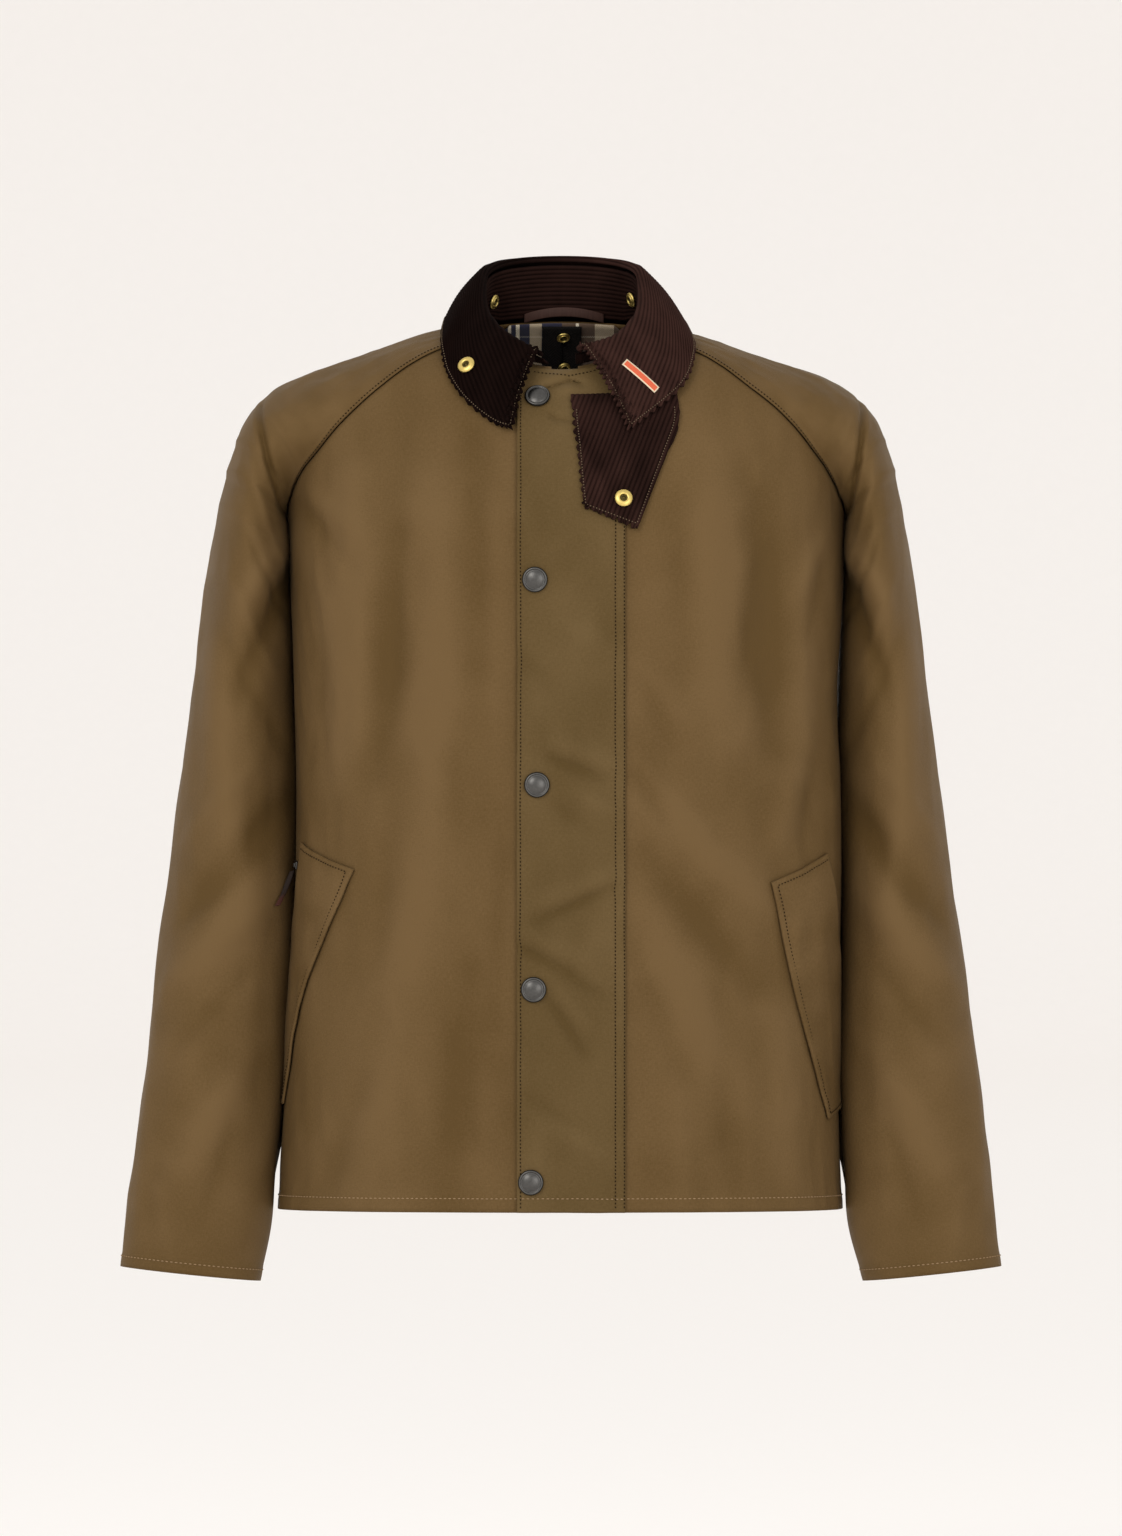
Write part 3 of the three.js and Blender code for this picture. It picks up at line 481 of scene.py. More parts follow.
def bumps(u, v, seed):
    """Smooth bumps from -1 to 1 over a plane, about one to a unit."""
    heights = np.random.default_rng(seed).uniform(-1, 1, (64, 64))
    i, j = np.floor(u).astype(int), np.floor(v).astype(int)
    s, t = u - i, v - j
    s, t = s * s * (3 - 2 * s), t * t * (3 - 2 * t)
    near = mix(heights[i % 64, j % 64], heights[(i + 1) % 64, j % 64], s)
    far = mix(heights[i % 64, (j + 1) % 64], heights[(i + 1) % 64, (j + 1) % 64], s)
    return mix(near, far, t)


def crumple(u, v, seed):
    """The small dents of a waxed cloth that has been worn and shaken out."""
    soft = 0.75 * bumps(u / 34, v / 58, seed) + 0.35 * bumps(u / 17, v / 25, seed + 1)
    sharp = 0.3 * (1 - 2 * np.abs(bumps(u / 26 + v / 90, v / 44 - u / 80, seed + 2)))
    return soft + sharp


def outward(surface, a, b, da, db):
    """The way out of a surface at (a, b), where a runs left to right seen from outside, b down."""
    across = surface(a + da, b) - surface(a - da, b)
    down = surface(a, b + db) - surface(a, b - db)
    return unit(np.cross(down, across))


def body_point(side, angle, z):
    row = read(BODY, z)
    half = np.where(np.asarray(side) < 0, row[..., 0], row[..., 1])
    c, s = np.cos(np.radians(angle)), np.sin(np.radians(angle))
    power = 2 / SQUARENESS
    x = side * half * np.sign(c) * np.abs(c) ** power
    y = np.where(s > 0, -row[..., 2], row[..., 3]) * np.abs(s) ** power
    return stacked(x, y, z)


def body_angle(side, x, z):
    row = read(BODY, z)
    share = x / np.where(np.asarray(side) < 0, row[..., 0], row[..., 1])
    c = np.sign(share) * np.minimum(np.abs(share), 1) ** (SQUARENESS / 2)
    return np.degrees(np.arccos(c))


def seam_place(side, step, behind):
    """Angle and height of a raglan seam at a step."""
    row = read(RAGLAN, np.minimum(step, 8))
    z = row[..., 3 if behind else 0]
    x = row[..., (4 if behind else 1) + (1 if side > 0 else 0)]
    angle = body_angle(side, x, z) * (-1 if behind else 1)
    t = np.clip(step - 8, 0, 1)
    return mix(angle, SIDE_SEAM_ANGLE, t), mix(z, RAGLAN[9][1], t)


def neck_front(x):
    return mix(NECK_FRONT_Z, RAGLAN[0][1], np.minimum(1, (x / RAGLAN[0][2]) ** 2))


def neck_back(x):
    return mix(NECK_BACK_Z, RAGLAN[0][4], np.minimum(1, (x / RAGLAN[0][5]) ** 2))


def seam_tables():
    """Heights of the seam over the body's angles, by side, front and back."""
    steps = np.linspace(0, 9, 80)
    tables = {}
    for side in (-1, 1):
        front, back = seam_place(side, steps, False), seam_place(side, steps, True)
        tables[side, False] = front[0][::-1], front[1][::-1]
        tables[side, True] = back
    return tables


SEAM_TABLES = seam_tables()


def seam_height(side, angle, behind):
    right = np.interp(angle, *SEAM_TABLES[-1, behind])
    left = np.interp(angle, *SEAM_TABLES[1, behind])
    return np.where(np.asarray(side) < 0, right, left)


def body_surface(side, angle, z):
    """The body's cloth with its folds, calm where it is sewn to the sleeves and along the sides."""
    p, step = body_point(side, angle, z), 0.5
    turn = body_point(side, angle + step, z) - body_point(side, angle - step, z)
    rise = body_point(side, angle, z + 2) - body_point(side, angle, z - 2)
    out = unit(np.cross(turn, rise) * -np.asarray(side, float)[..., None])
    angle, z = np.broadcast_arrays(np.asarray(angle, float), np.asarray(z, float))
    front = angle > SIDE_SEAM_ANGLE
    x = p[..., 0]
    calm_side = np.minimum(1, np.abs(angle - SIDE_SEAM_ANGLE) / 16)
    below = np.where(front, seam_height(side, angle, False), seam_height(side, angle, True)) - z
    calm = calm_side * smooth(below, 0, 34)
    front_folds = folded(FRONT_FOLDS, x, z) + FRONT_CREASING * folded(FRONT_CREASES, x, z)
    back_folds = folded(BACK_FOLDS, x, z) + BACK_CREASING * folded(BACK_CREASES, x, z)
    folds = np.where(front, front_folds, back_folds)
    around = side * np.where(front, 90 - angle, BACK_START + angle) * ANGLE_MM
    dents = 1.2 * crumple(around, z, 3) * smooth(below, 0, 20) * calm_side
    turned_up = 0.7 * smooth(HEM_Z + 12.5 - z, -1.2, 1.2) - 0.5 * hump(z, HEM_Z + HEM_STITCH, 0.9)
    pucker = 0.45 * bumps(around / 13, z * 0, 11) * np.exp(-np.maximum(z - HEM_Z - 10, 0) / 14)
    rolled = -0.8 * (1 - smooth(below, 0, 5))
    lift = calm * folds + dents + turned_up + pucker + rolled
    return p + out * lift[..., None]


def front_point(x, z, way=1):
    """The front at x and z in front view, or with way -1 the back."""
    side = np.where(np.asarray(x) < 0, -1, 1)
    return body_surface(side, way * body_angle(side, np.abs(x), z), z)


def front_out(x, z):
    return outward(lambda a, b: front_point(a, -b), x, -z, 1, 1)


def front_raised(x, z, off):
    """The front moved forward so that it stands off by a distance."""
    away = off / np.maximum(-front_out(x, z)[..., 1], 0.4)
    return front_point(x, z) - stacked(0, away, 0)


def back_point(x, z):
    return front_point(x, z, -1)


def back_out(x, z):
    return outward(lambda p, q: back_point(-p, -q), -x, -z, 0.5, 0.5)


def sleeve_section(side, step):
    """A sleeve's section at a step: its middle, ridge and depth vectors and turn."""
    step = np.asarray(step, float)
    k = 0 if side < 0 else 1
    low = read(SLEEVE, step)
    outer = stacked(side * low[..., k], low[..., 6], low[..., 2])
    inner = stacked(side * low[..., 3 + k], low[..., 6], low[..., 5])
    low_middle, low_depth = (outer + inner) / 2, stacked(0, low[..., 7], 0)
    low_ridge = outer - low_middle

    head = np.minimum(step, UNDERARM)
    front = body_point(side, *seam_place(side, head, False))
    back = body_point(side, *seam_place(side, head, True))
    row, wrap = read(RAGLAN, head), read(SLEEVE_HEAD, head)
    top = stacked(side * row[..., 6 + 2 * k], 4 + head, row[..., 7 + 2 * k])
    span = back - front
    wide = np.linalg.norm(span, axis=-1) / 2
    half = wrap[..., 1]
    early = head < 7
    turn = np.where(early, np.radians(wrap[..., 0]), math.pi - np.arcsin(np.minimum(1, wide / half)))
    reach = np.where(early, wide / np.maximum(np.sin(turn), 1e-6), half)
    way = np.where((wide > 1)[..., None], unit(span), np.array([0.0, 1.0, 0.0]))
    ridge = (top - (front + back) / 2) / (1 - np.cos(turn))[..., None]
    below = step >= UNDERARM
    pick = below[..., None]
    return (
        np.where(pick, low_middle, top - ridge),
        np.where(pick, low_ridge, ridge),
        np.where(pick, low_depth, way * reach[..., None]),
        np.where(below, math.pi, turn),
    )


def on_section(section, angle):
    middle, ridge, depth, _ = section
    return middle + ridge * np.cos(angle)[..., None] + depth * np.sin(angle)[..., None]


def half_way_round(section):
    """The cloth's length from a section's ridge to its seam."""
    _, ridge, depth, turn = section
    return turn * (np.linalg.norm(ridge, axis=-1) + np.linalg.norm(depth, axis=-1)) / 2


def sleeve_surface(side, around, step):
    """A sleeve's cloth: around runs from -1 at the front seam over the ridge to 1 at the back."""
    around, step = np.broadcast_arrays(np.asarray(around, float), np.asarray(step, float))

    def at(moved):
        section = sleeve_section(side, moved)
        return on_section(section, section[3] * around)

    section = sleeve_section(side, step)
    _, ridge, depth, turn = section
    c, s = np.cos(turn * around)[..., None], np.sin(turn * around)[..., None]
    out = unit(ridge) * c + unit(depth) * s
    sideways = np.abs(around)
    from_seam = (1 - sideways) * half_way_round(section)
    calm = np.minimum(1, (1 - sideways) / 0.12)
    down, over = step * STEP_MM, around * AROUND_MM
    edge = smooth(from_seam, 0, 26)
    lift = calm * folded(SLEEVE_TABLE, down, over) + edge * crumple(over, down, 5 if side < 0 else 7)
    head = smooth(UNDERARM - 0.5 - step, 0, 0.6)
    lift = lift + head * (
        0.9 * smooth(5.2 - from_seam, -1.2, 1.2)
        - 0.5 * smooth(0.7 - from_seam, -0.7, 0.7)
        - 0.3 * hump(from_seam, 3.1, 1.5)
    )
    lift = lift + 0.6 * smooth((step - CUFF) * STEP_MM + 9.5, -1.2, 1.2)
    full = hump(around, 0.82, 22 / AROUND_MM) * smooth(step, 9.4, 10.6) * smooth(20.2 - step, 0, 2)
    lift = lift + calm * (SLEEVE_FULLNESS[side] * full)
    inward = smooth(sideways, 0.72, 0.93) * smooth(step, 9.05, 9.7) * smooth(19.5 - step, 0, 2)
    lift = lift + SLEEVE_INWARD[side] * inward
    easing = 0.5 * smooth(step, 5, 7.5) * smooth(13 - step, 0, 2) * smooth(from_seam, 6, 45)
    base = on_section(section, turn * around)
    base = mix(base, (at(step - 0.7) + at(step + 0.7)) / 2, easing[..., None])
    return base + out * lift[..., None]


def flap_top(x):
    return neck_front(np.abs(x)) - FLAP_DROP


def flap_surface(x, share):
    z = mix(flap_top(x), HEM_Z, share)
    inside = np.minimum(x - FLAP_EDGE_X, FLAP_SEAM_X - x)
    lift = FLAP_CREASING * folded(FLAP_CREASES, x, z) * smooth(inside, -2, 9)
    lift = lift + 0.3 * smooth(4.6 - (x - FLAP_EDGE_X), -1.4, 0.2) + 0.3 * bumps(x / 12, z / 16, 23)
    for inset in FLAP_GROOVES:
        lift = lift - 0.35 * hump(x, FLAP_SEAM_X - inset, GROOVE_WIDTH)
    return front_raised(x, z, np.maximum(lift, FLAP_SINK))


def neck_ring(side, share):
    """A point on the neck ring: share 0 at centre front, 1 at centre back."""
    front, sleeve = NECK_SHARES
    share = np.asarray(share, float)
    x = np.clip(share / front, 0, 1) * RAGLAN[0][2]
    z = neck_front(x)
    first = body_point(side, body_angle(side, x, z), z)
    section = sleeve_section(side, np.zeros_like(share))
    around = -1 + 2 * (np.clip(share, front, sleeve) - front) / (sleeve - front)
    second = on_section(section, section[3] * around)
    x = (1 - np.clip((share - sleeve) / (1 - sleeve), 0, 1)) * RAGLAN[0][5]
    z = neck_back(x)
    third = body_point(side, -body_angle(side, x, z), z)
    return np.where((share <= front)[..., None], first, np.where((share <= sleeve)[..., None], second, third))


def flap_under(x):
    return 1 - smooth(np.maximum(FLAP_EDGE_X - x, x - FLAP_SEAM_X), 2, 20)


def tab_base(x):
    return mix(0.7, FLAP_LIFT + 0.6, flap_under(x))


def layers_at(x, wale_rise):
    return np.where(x > 0, tab_base(x) + COLLAR_THICK + wale_rise, FLAP_LIFT * flap_under(x))


def collar_station(place):
    row = read(COLLAR, place)
    ring, fx, fy, fz, ex, ez, ey = (row[..., i] for i in range(7))
    base = np.where((place < 0)[..., None], neck_ring(-1, ring), neck_ring(1, ring))
    lying = smooth(np.abs(place), 4.4, 5.4)
    rest = front_raised(ex, ez, layers_at(ex, 0.7) + 0.8 + COLLAR_THICK)[..., 1]
    edge = stacked(ex, np.where(lying > 0, mix(ey, rest, lying), ey), ez)
    return base, stacked(fx, fy, fz), edge


def stand_surface(place, share):
    """Collar stand seen from inside the neck: share runs from the fold down to the neck seam."""
    base, fold, _ = collar_station(place)
    inwards = unit(stacked(-base[..., 0], -base[..., 1], 0))
    foot = base + np.array([0, 0, 2.4]) + inwards * COLLAR_THICK
    lean = unit(foot - fold)
    return mix(fold + lean * 1.8, foot, np.asarray(share, float)[..., None])


def fall_length(place):
    _, fold, edge = collar_station(place)
    return np.linalg.norm(edge - fold, axis=-1)


def fall_surface(place, share):
    """Collar fall: over the roll at the fold, then down to the free edge."""
    _, fold, edge = collar_station(place)
    span = edge - fold
    drop = -span[..., 2]
    level = stacked(span[..., 0], span[..., 1], 0)
    reach = np.linalg.norm(level, axis=-1)
    level = unit(level)
    slope = np.arctan2(drop, np.maximum(reach - 2 * ROLL_RADIUS, 1))
    turn = math.pi / 2 + slope
    up = np.array([0.0, 0.0, 1.0])

    def rolled(t):
        return (
            fold
            + level * (ROLL_RADIUS * (1 - np.cos(t)))[..., None]
            + up * (ROLL_RADIUS * np.sin(t) + 0.3)[..., None]
        )

    roll_end = rolled(turn)
    roll_length = ROLL_RADIUS * turn
    length = roll_length + np.linalg.norm(edge - roll_end, axis=-1)
    run = share * length
    t = np.clip((run - roll_length) / (length - roll_length), 0, 1.1)
    out = level * np.sin(slope)[..., None] + up * np.cos(slope)[..., None]
    flat = mix(roll_end, edge, t[..., None]) + out * (3 * np.sin(math.pi * np.minimum(t, 1)))[..., None]
    return np.where((run < roll_length)[..., None], rolled(run / ROLL_RADIUS), flat)


def tab_point(across, along):
    """Throat tab: across from its left edge, along its length."""
    x, z = laid_across(TAB, along, across)
    return front_raised(x, z, tab_base(x) + COLLAR_THICK)


def place_at(surface, x, z, guess):
    """Where a surface passes x and z in front view, found from a first guess."""
    a, b = (float(v) for v in guess)
    d = 0.01
    for _ in range(12):
        p, pa, pb = (surface(np.float64(a + i), np.float64(b + j)) for i, j in ((0, 0), (d, 0), (0, d)))
        ax, az = (pa - p)[..., 0] / d, (pa - p)[..., 2] / d
        bx, bz = (pb - p)[..., 0] / d, (pb - p)[..., 2] / d
        det, ex, ez = ax * bz - bx * az, x - p[..., 0], z - p[..., 2]
        a += float(np.clip((ex * bz - bx * ez) / det, -0.5, 0.5))
        b += float(np.clip((ax * ez - ex * az) / det, -0.2, 0.2))
    return np.float64(a), np.float64(b)


# Meshes


def laid_grid(name, across, down, place, measure, **marks):
    """A sheet of cells laid on a surface. place and measure take shares across and down, seen from
    outside, and give its points and the cloth's own lengths; marks are numbers kept at its points."""
    bm = bmesh.new()
    bmesh.ops.create_grid(bm, x_segments=across, y_segments=down, size=0.5)
    at = np.array([v.co[:2] for v in bm.verts])
    a, b = at[:, 0] + 0.5, 0.5 - at[:, 1]
    for vert, co in zip(bm.verts, place(a, b) * MM):
        vert.co = co
    mesh = bpy.data.meshes.new(name)
    bm.to_mesh(mesh)
    bm.free()
    corners = np.empty(len(mesh.loops), int)
    mesh.loops.foreach_get("vertex_index", corners)
    uv = mesh.uv_layers.new(name="Cloth")
    uv.data.foreach_set("uv", (np.stack(measure(a, b), -1) * MM)[corners].ravel())
    for key, value in marks.items():
        layer = mesh.attributes.new(key, "FLOAT", "POINT")
        layer.data.foreach_set("value", np.broadcast_to(value(a, b), a.shape).astype(float))
    mesh.shade_smooth()
    return shown(name, mesh)


def shown(name, mesh):
    piece = bpy.data.objects.new(name, mesh)
    bpy.context.scene.collection.objects.link(piece)
    return piece


def walled(piece, thick):
    """Give a sheet its thickness, inwards from its face."""
    wall = piece.modifiers.new("Thickness", "SOLIDIFY")
    wall.thickness, wall.offset = thick * MM, -1
    return piece


def mm(setting):
    """One of the jacket's sizes in millimetres."""
    return getattr(bpy.context.scene.jacket_sizes, setting) / MM


def settled(piece, slot, materials, *nodes):
    """A finished piece: its materials, the nodes it stands for, and the body it rides on. Its slot is not
    used.
    """
    for material in materials:
        piece.data.materials.append(material)
    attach(piece, "root")
    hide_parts(*nodes)
    return piece


def lengths(wide, long):
    """The measure of a plain strip of cloth, in millimetres."""
    return lambda a, b: (a * wide, -b * long)


def cloth_piece(node, grid, place, measure, thick, finish, **marks):
    """Lay, wall and settle the cloth that stands for one node."""
    piece = walled(laid_grid(f"{node}_cloth", *grid, place, measure, **marks), thick)
    slot = "cotton" if finish == "flap" else finish
    return settled(piece, slot, [finish_of(finish)], node)


def turned_to(out):
    """A turn that lays +Z along a way out."""
    return Vector((0, 0, 1)).rotation_difference(Vector(out)).to_matrix().to_4x4()


def spun(outline, place, out, sides=40):
    """Spin an outline of radius and height into a round fitting and set it on a place."""
    bm = bmesh.new()
    verts = [bm.verts.new((radius * MM, 0, height * MM)) for radius, height in outline]
    edges = [bm.edges.new(pair) for pair in zip(verts, verts[1:])]
    bmesh.ops.spin(
        bm, geom=verts + edges, axis=(0, 0, 1), cent=(0, 0, 0), angle=2 * math.pi, steps=sides, use_merge=True
    )
    bmesh.ops.remove_doubles(bm, verts=bm.verts, dist=1e-6)
    bmesh.ops.recalc_face_normals(bm, faces=bm.faces)
    bmesh.ops.transform(bm, matrix=Matrix.Translation(Vector(place * MM)) @ turned_to(out), verts=bm.verts)
    return bm


def bevelled(bm, edges, width, segments):
    bmesh.ops.bevel(
        bm, geom=edges, offset=width, affect="EDGES", segments=segments, profile=0.5, material=-1
    )


def meshed(name, bm):
    mesh = bpy.data.meshes.new(name)
    bm.to_mesh(mesh)
    bm.free()
    mesh.shade_smooth()
    return shown(name, mesh)


# Materials


def shaded(colour, factor, tint=(1, 1, 1)):
    return (*(c * factor * t for c, t in zip(colour, tint)), 1)


class Finish:
    """A node material in the making, with the nodes that its look is built from."""

    def __init__(self, name):
        self.material = bpy.data.materials.new(name)
        self.material.use_nodes = True
        self.tree = self.material.node_tree

    def joined(self, node, inputs):
        for key, value in inputs.items():
            if isinstance(value, bpy.types.NodeSocket):
                self.tree.links.new(value, node.inputs[key])
            else:
                node.inputs[key].default_value = value

    def node(self, kind, inputs, output=0, **settings):
        node = self.tree.nodes.new(kind)
        for key, value in settings.items():
            setattr(node, key, value)
        self.joined(node, inputs)
        return node.outputs[output]

    def dressed(self, inputs):
        """Give the shader its inputs and return the finished material."""
        self.joined(self.tree.nodes["Principled BSDF"], inputs)
        return self.material

    def maths(self, operation, a, b=0.0, clamp=False):
        return self.node("ShaderNodeMath", {0: a, 1: b}, operation=operation, use_clamp=clamp)

    def total(self, start, *terms):
        """A start and terms of a value, the middle taken off it and its weight, kept from 0 to 1."""
        for value, middle, weight in terms:
            off = self.maths("SUBTRACT", value, middle)
            start = self.maths("ADD", start, self.maths("MULTIPLY", off, weight))
        return self.maths("ADD", start, 0.0, clamp=True)

    def share(self, value, pitch):
        """How far a value has come through its pitch, from 0 to 1."""
        return self.maths("FRACT", self.maths("DIVIDE", value, pitch))

    def blend(self, factor, a, b, way="MIX"):
        return self.node("ShaderNodeMix", {0: factor, 6: a, 7: b}, 2, data_type="RGBA", blend_type=way)

    def shades(self, factor, colour, low, high):
        """Between a darker and a paler shade of a colour."""
        return self.blend(factor, shaded(colour, low), shaded(colour, high))

    def worn(self, base, factor, low, high):
        """A colour made darker or paler by a factor: by fuzz, weave and grain on most finishes, and by
        painted shade on the corduroy.
        """
        return self.blend(1.0, base, self.shades(factor, (1, 1, 1), low, high), "MULTIPLY")

    def place(self, on_cloth=True):
        if on_cloth:
            return self.node("ShaderNodeUVMap", {}, uv_map="Cloth")
        return self.node("ShaderNodeTexCoord", {}, "Object")

    def axes(self, place):
        return self.node("ShaderNodeSeparateXYZ", {"Vector": place}).node.outputs[:2]

    def mark(self, name):
        return self.node("ShaderNodeAttribute", {}, "Fac", attribute_name=name)

    def clouds(self, place, scale, detail, stretch=(1, 1, 1)):
        """Noise of a number of features to the metre, stretched along the cloth."""
        fitted = self.node("ShaderNodeMapping", {"Vector": place, "Scale": stretch})
        return self.node("ShaderNodeTexNoise", {"Vector": fitted, "Scale": scale, "Detail": detail}, "Fac")

    def weave(self, place, pitch):
        """Height of a plain weave, from 0 to 1."""
        waves = [
            self.maths("SINE", self.maths("MULTIPLY", part, 2 * math.pi / pitch)) for part in self.axes(place)
        ]
        return self.maths("MULTIPLY_ADD", self.maths("MULTIPLY", *waves), 0.5)

    def bands(self, along, pitch, stops):
        """Bands across one direction of a cloth: pairs of a start, from 0 to 1, and a colour."""
        ramp = self.node("ShaderNodeValToRGB", {0: self.share(along, pitch)}).node
        ramp.color_ramp.interpolation = "CONSTANT"
        elements = ramp.color_ramp.elements
        while len(elements) < len(stops):
            elements.new(0.5)
        for element, (start, colour) in zip(elements, stops):
            element.position, element.color = start, (*colour, 1)
        return ramp.outputs[0]

    def bump(self, height, distance, strength, under=None):
        inputs = {"Height": height, "Distance": distance, "Strength": strength}
        if under is not None:
            inputs["Normal"] = under
        raised = self.node("ShaderNodeBump", inputs)
        self.dressed({"Normal": raised})
        return raised


def waxed_cotton(name, colour):
    """Waxed cotton: a tight weave under a soft wax, painted browner and darker in its hollows as shade, and
    paler on its ridges, partly as wear and partly as painted light.
    """
    f = Finish(name)
    place = f.place()
    cloud = f.clouds(place, 9, 4)
    patch = f.clouds(place, 34, 3, (1, 0.5, 1))
    grain = f.maths("ADD", f.clouds(place, 900, 2, (1, 0.4, 1)), f.clouds(place, 900, 2, (0.4, 1, 1)))
    relief = f.mark("relief")
    # The relief mark paints shade into the hollows of the folds and light onto their ridges. The three noises
    # are the cloth's own mottling.
    tone = f.total(0.5, (relief, 0, 0.16), (cloud, 0.5, 0.9), (patch, 0.5, 0.5), (grain, 1, 0.75))
    dark, pale = shaded(colour, 0.8, (1, 0.97, 0.84)), shaded(colour, 1.2, (1, 1.02, 1.1))
    f.bump(grain, 0.00018, 0.6, f.bump(f.weave(place, 0.0008), 0.00008, 0.5))
    return f.dressed({
        "Base Color": f.blend(tone, dark, pale),
        "Roughness": f.total(0.5, (patch, 0, 0.22)),
        "Specular IOR Level": 0.12,
        "Specular Tint": (1, 0.82, 0.55, 1),
        "Sheen Weight": 0.015,
        "Sheen Roughness": 0.45,
        "Sheen Tint": (0.9, 0.8, 0.62, 1),
    })


def ribbed_corduroy(name, colour):
    """Corduroy: soft pile on raised wales, painted paler on their crests as highlight and near black between
    them as shade, with a silky shine on top; whole pieces are painted darker as shade.
    """
    f = Finish(name)
    place = f.place()
    nap = f.clouds(place, 60, 4, (1, 0.6, 1))
    pile = f.clouds(place, 1400, 3)
    # Painted highlight on the wales' crests and painted shade in the valleys between them, with streaks of
    # the pile and random tone.
    tone = f.total(-0.12, (f.mark("wale"), 0, 0.55), (nap, 0, 0.5), (pile, 0.5, 0.5))
    f.bump(pile, 0.0003, 0.7)
    return f.dressed({
        # The per-piece mark darkens whole leaves and pieces of the corduroy, as painted shade.
        "Base Color": f.worn(f.shades(tone, colour, 0.15, 2.0), f.mark("nap"), 0.16, 1),
        "Roughness": 0.95,
        "Specular IOR Level": 0.02,
        "Sheen Weight": 0.025,
        "Sheen Roughness": 0.35,
        "Sheen Tint": (0.5, 0.34, 0.3, 1),
    })


def checked_lining(name, ground, field, line, patch):
    """Brushed cotton lining in a plain check of two grounds with thin pale lines."""
    f = Finish(name)
    place = f.place()
    x, y = f.axes(place)
    across = f.bands(x, 0.104, [
        (0, field), (0.1, line), (0.125, field), (0.24, patch), (0.38, field), (0.5, ground), (0.6, line),
        (0.625, ground), (0.66, line), (0.685, ground), (0.76, patch), (0.85, ground),
    ])
    along = f.bands(y, 0.046, [
        (0, field), (0.16, line), (0.19, field), (0.42, ground), (0.62, line), (0.65, ground),
        (0.86, patch), (0.92, ground),
    ])
    twill = f.maths("GREATER_THAN", f.share(f.maths("ADD", x, y), 0.0014), 0.5)
    check = f.blend(f.maths("MULTIPLY", twill, 0.34), across, along)
    fuzz = f.clouds(place, 800, 3)
    f.bump(f.maths("ADD", fuzz, twill), 0.00012, 0.5)
    return f.dressed({
        "Base Color": f.worn(check, fuzz, 1.1, 1.7),
        "Roughness": 0.9,
        "Specular IOR Level": 0.15,
        "Sheen Weight": 0.1,
    })


def herringbone_tape(name, colour):
    f = Finish(name)
    x, y = f.axes(f.place())
    thread = f.share(f.maths("ADD", f.maths("PINGPONG", x, 0.005), y), 0.0022)
    ridge = f.maths("PINGPONG", thread, 0.5)
    # Paler on the ridges of the threads as painted light, darker between them as painted shade.
    tone = f.maths("MULTIPLY", ridge, 2.0, clamp=True)
    f.bump(ridge, 0.0004, 0.8)
    return f.dressed({
        "Base Color": f.shades(tone, colour, 0.5, 2.6), "Roughness": 0.85, "Specular IOR Level": 0.12,
    })


def worn_metal(name, colour, roughness):
    """Plated metal with faint scuffs and a slightly uneven polish."""
    f = Finish(name)
    scuff = f.clouds(f.place(False), 700, 4)
    f.bump(scuff, 0.00003, 0.5)
    return f.dressed({
        "Base Color": f.shades(scuff, colour, 0.75, 1.2),
        "Metallic": 1.0,
        "Roughness": f.total(roughness - 0.08, (scuff, 0, 0.16)),
    })


def woven_label(name, colour, border):
    """A woven label: its field ends a little inside the cloth's edges, where the border shows."""
    f = Finish(name)
    place = f.place()
    past = [
        f.maths("GREATER_THAN", f.maths("ABSOLUTE", part), half)
        for part, half in zip(f.axes(place), (0.0153, 0.0019))
    ]
    thread = f.weave(place, 0.0006)
    base = f.blend(f.maths("MAXIMUM", *past), (*colour, 1), (*border, 1))
    f.bump(thread, 0.0001, 0.6)
    return f.dressed({"Base Color": f.worn(base, thread, 0.75, 1.1), "Roughness": 0.7})


def soft_leather(name, colour, tip):
    """Dark leather that turns redder towards its cut end."""
    f = Finish(name)
    place = f.place()
    grain = f.clouds(place, 1300, 4)
    end = f.node("ShaderNodeMapRange", {"Value": f.axes(place)[1], "From Min": 0.019, "From Max": 0.025})
    f.bump(grain, 0.0002, 0.5)
    return f.dressed({
        "Base Color": f.worn(f.blend(end, (*colour, 1), (*tip, 1)), grain, 0.7, 1.25),
        "Roughness": 0.65,
        "Specular IOR Level": 0.15,
    })


def mottled(name, colour, shades, noise, rough, specular, bump=None, on_cloth=False):
    """A plain finish between two shades of its colour, by one noise that may raise it too."""
    f = Finish(name)
    grain = f.clouds(f.place(on_cloth), *noise)
    if bump:
        f.bump(grain, *bump)
    return f.dressed({
        "Base Color": f.shades(grain, colour, *shades), "Roughness": rough, "Specular IOR Level": specular,
    })


def spun_thread(name, colour):
    return mottled(name, colour, (0.65, 1.3), (1800, 2), 0.9, 0.03, (0.0001, 0.5))


FINISHES = {}


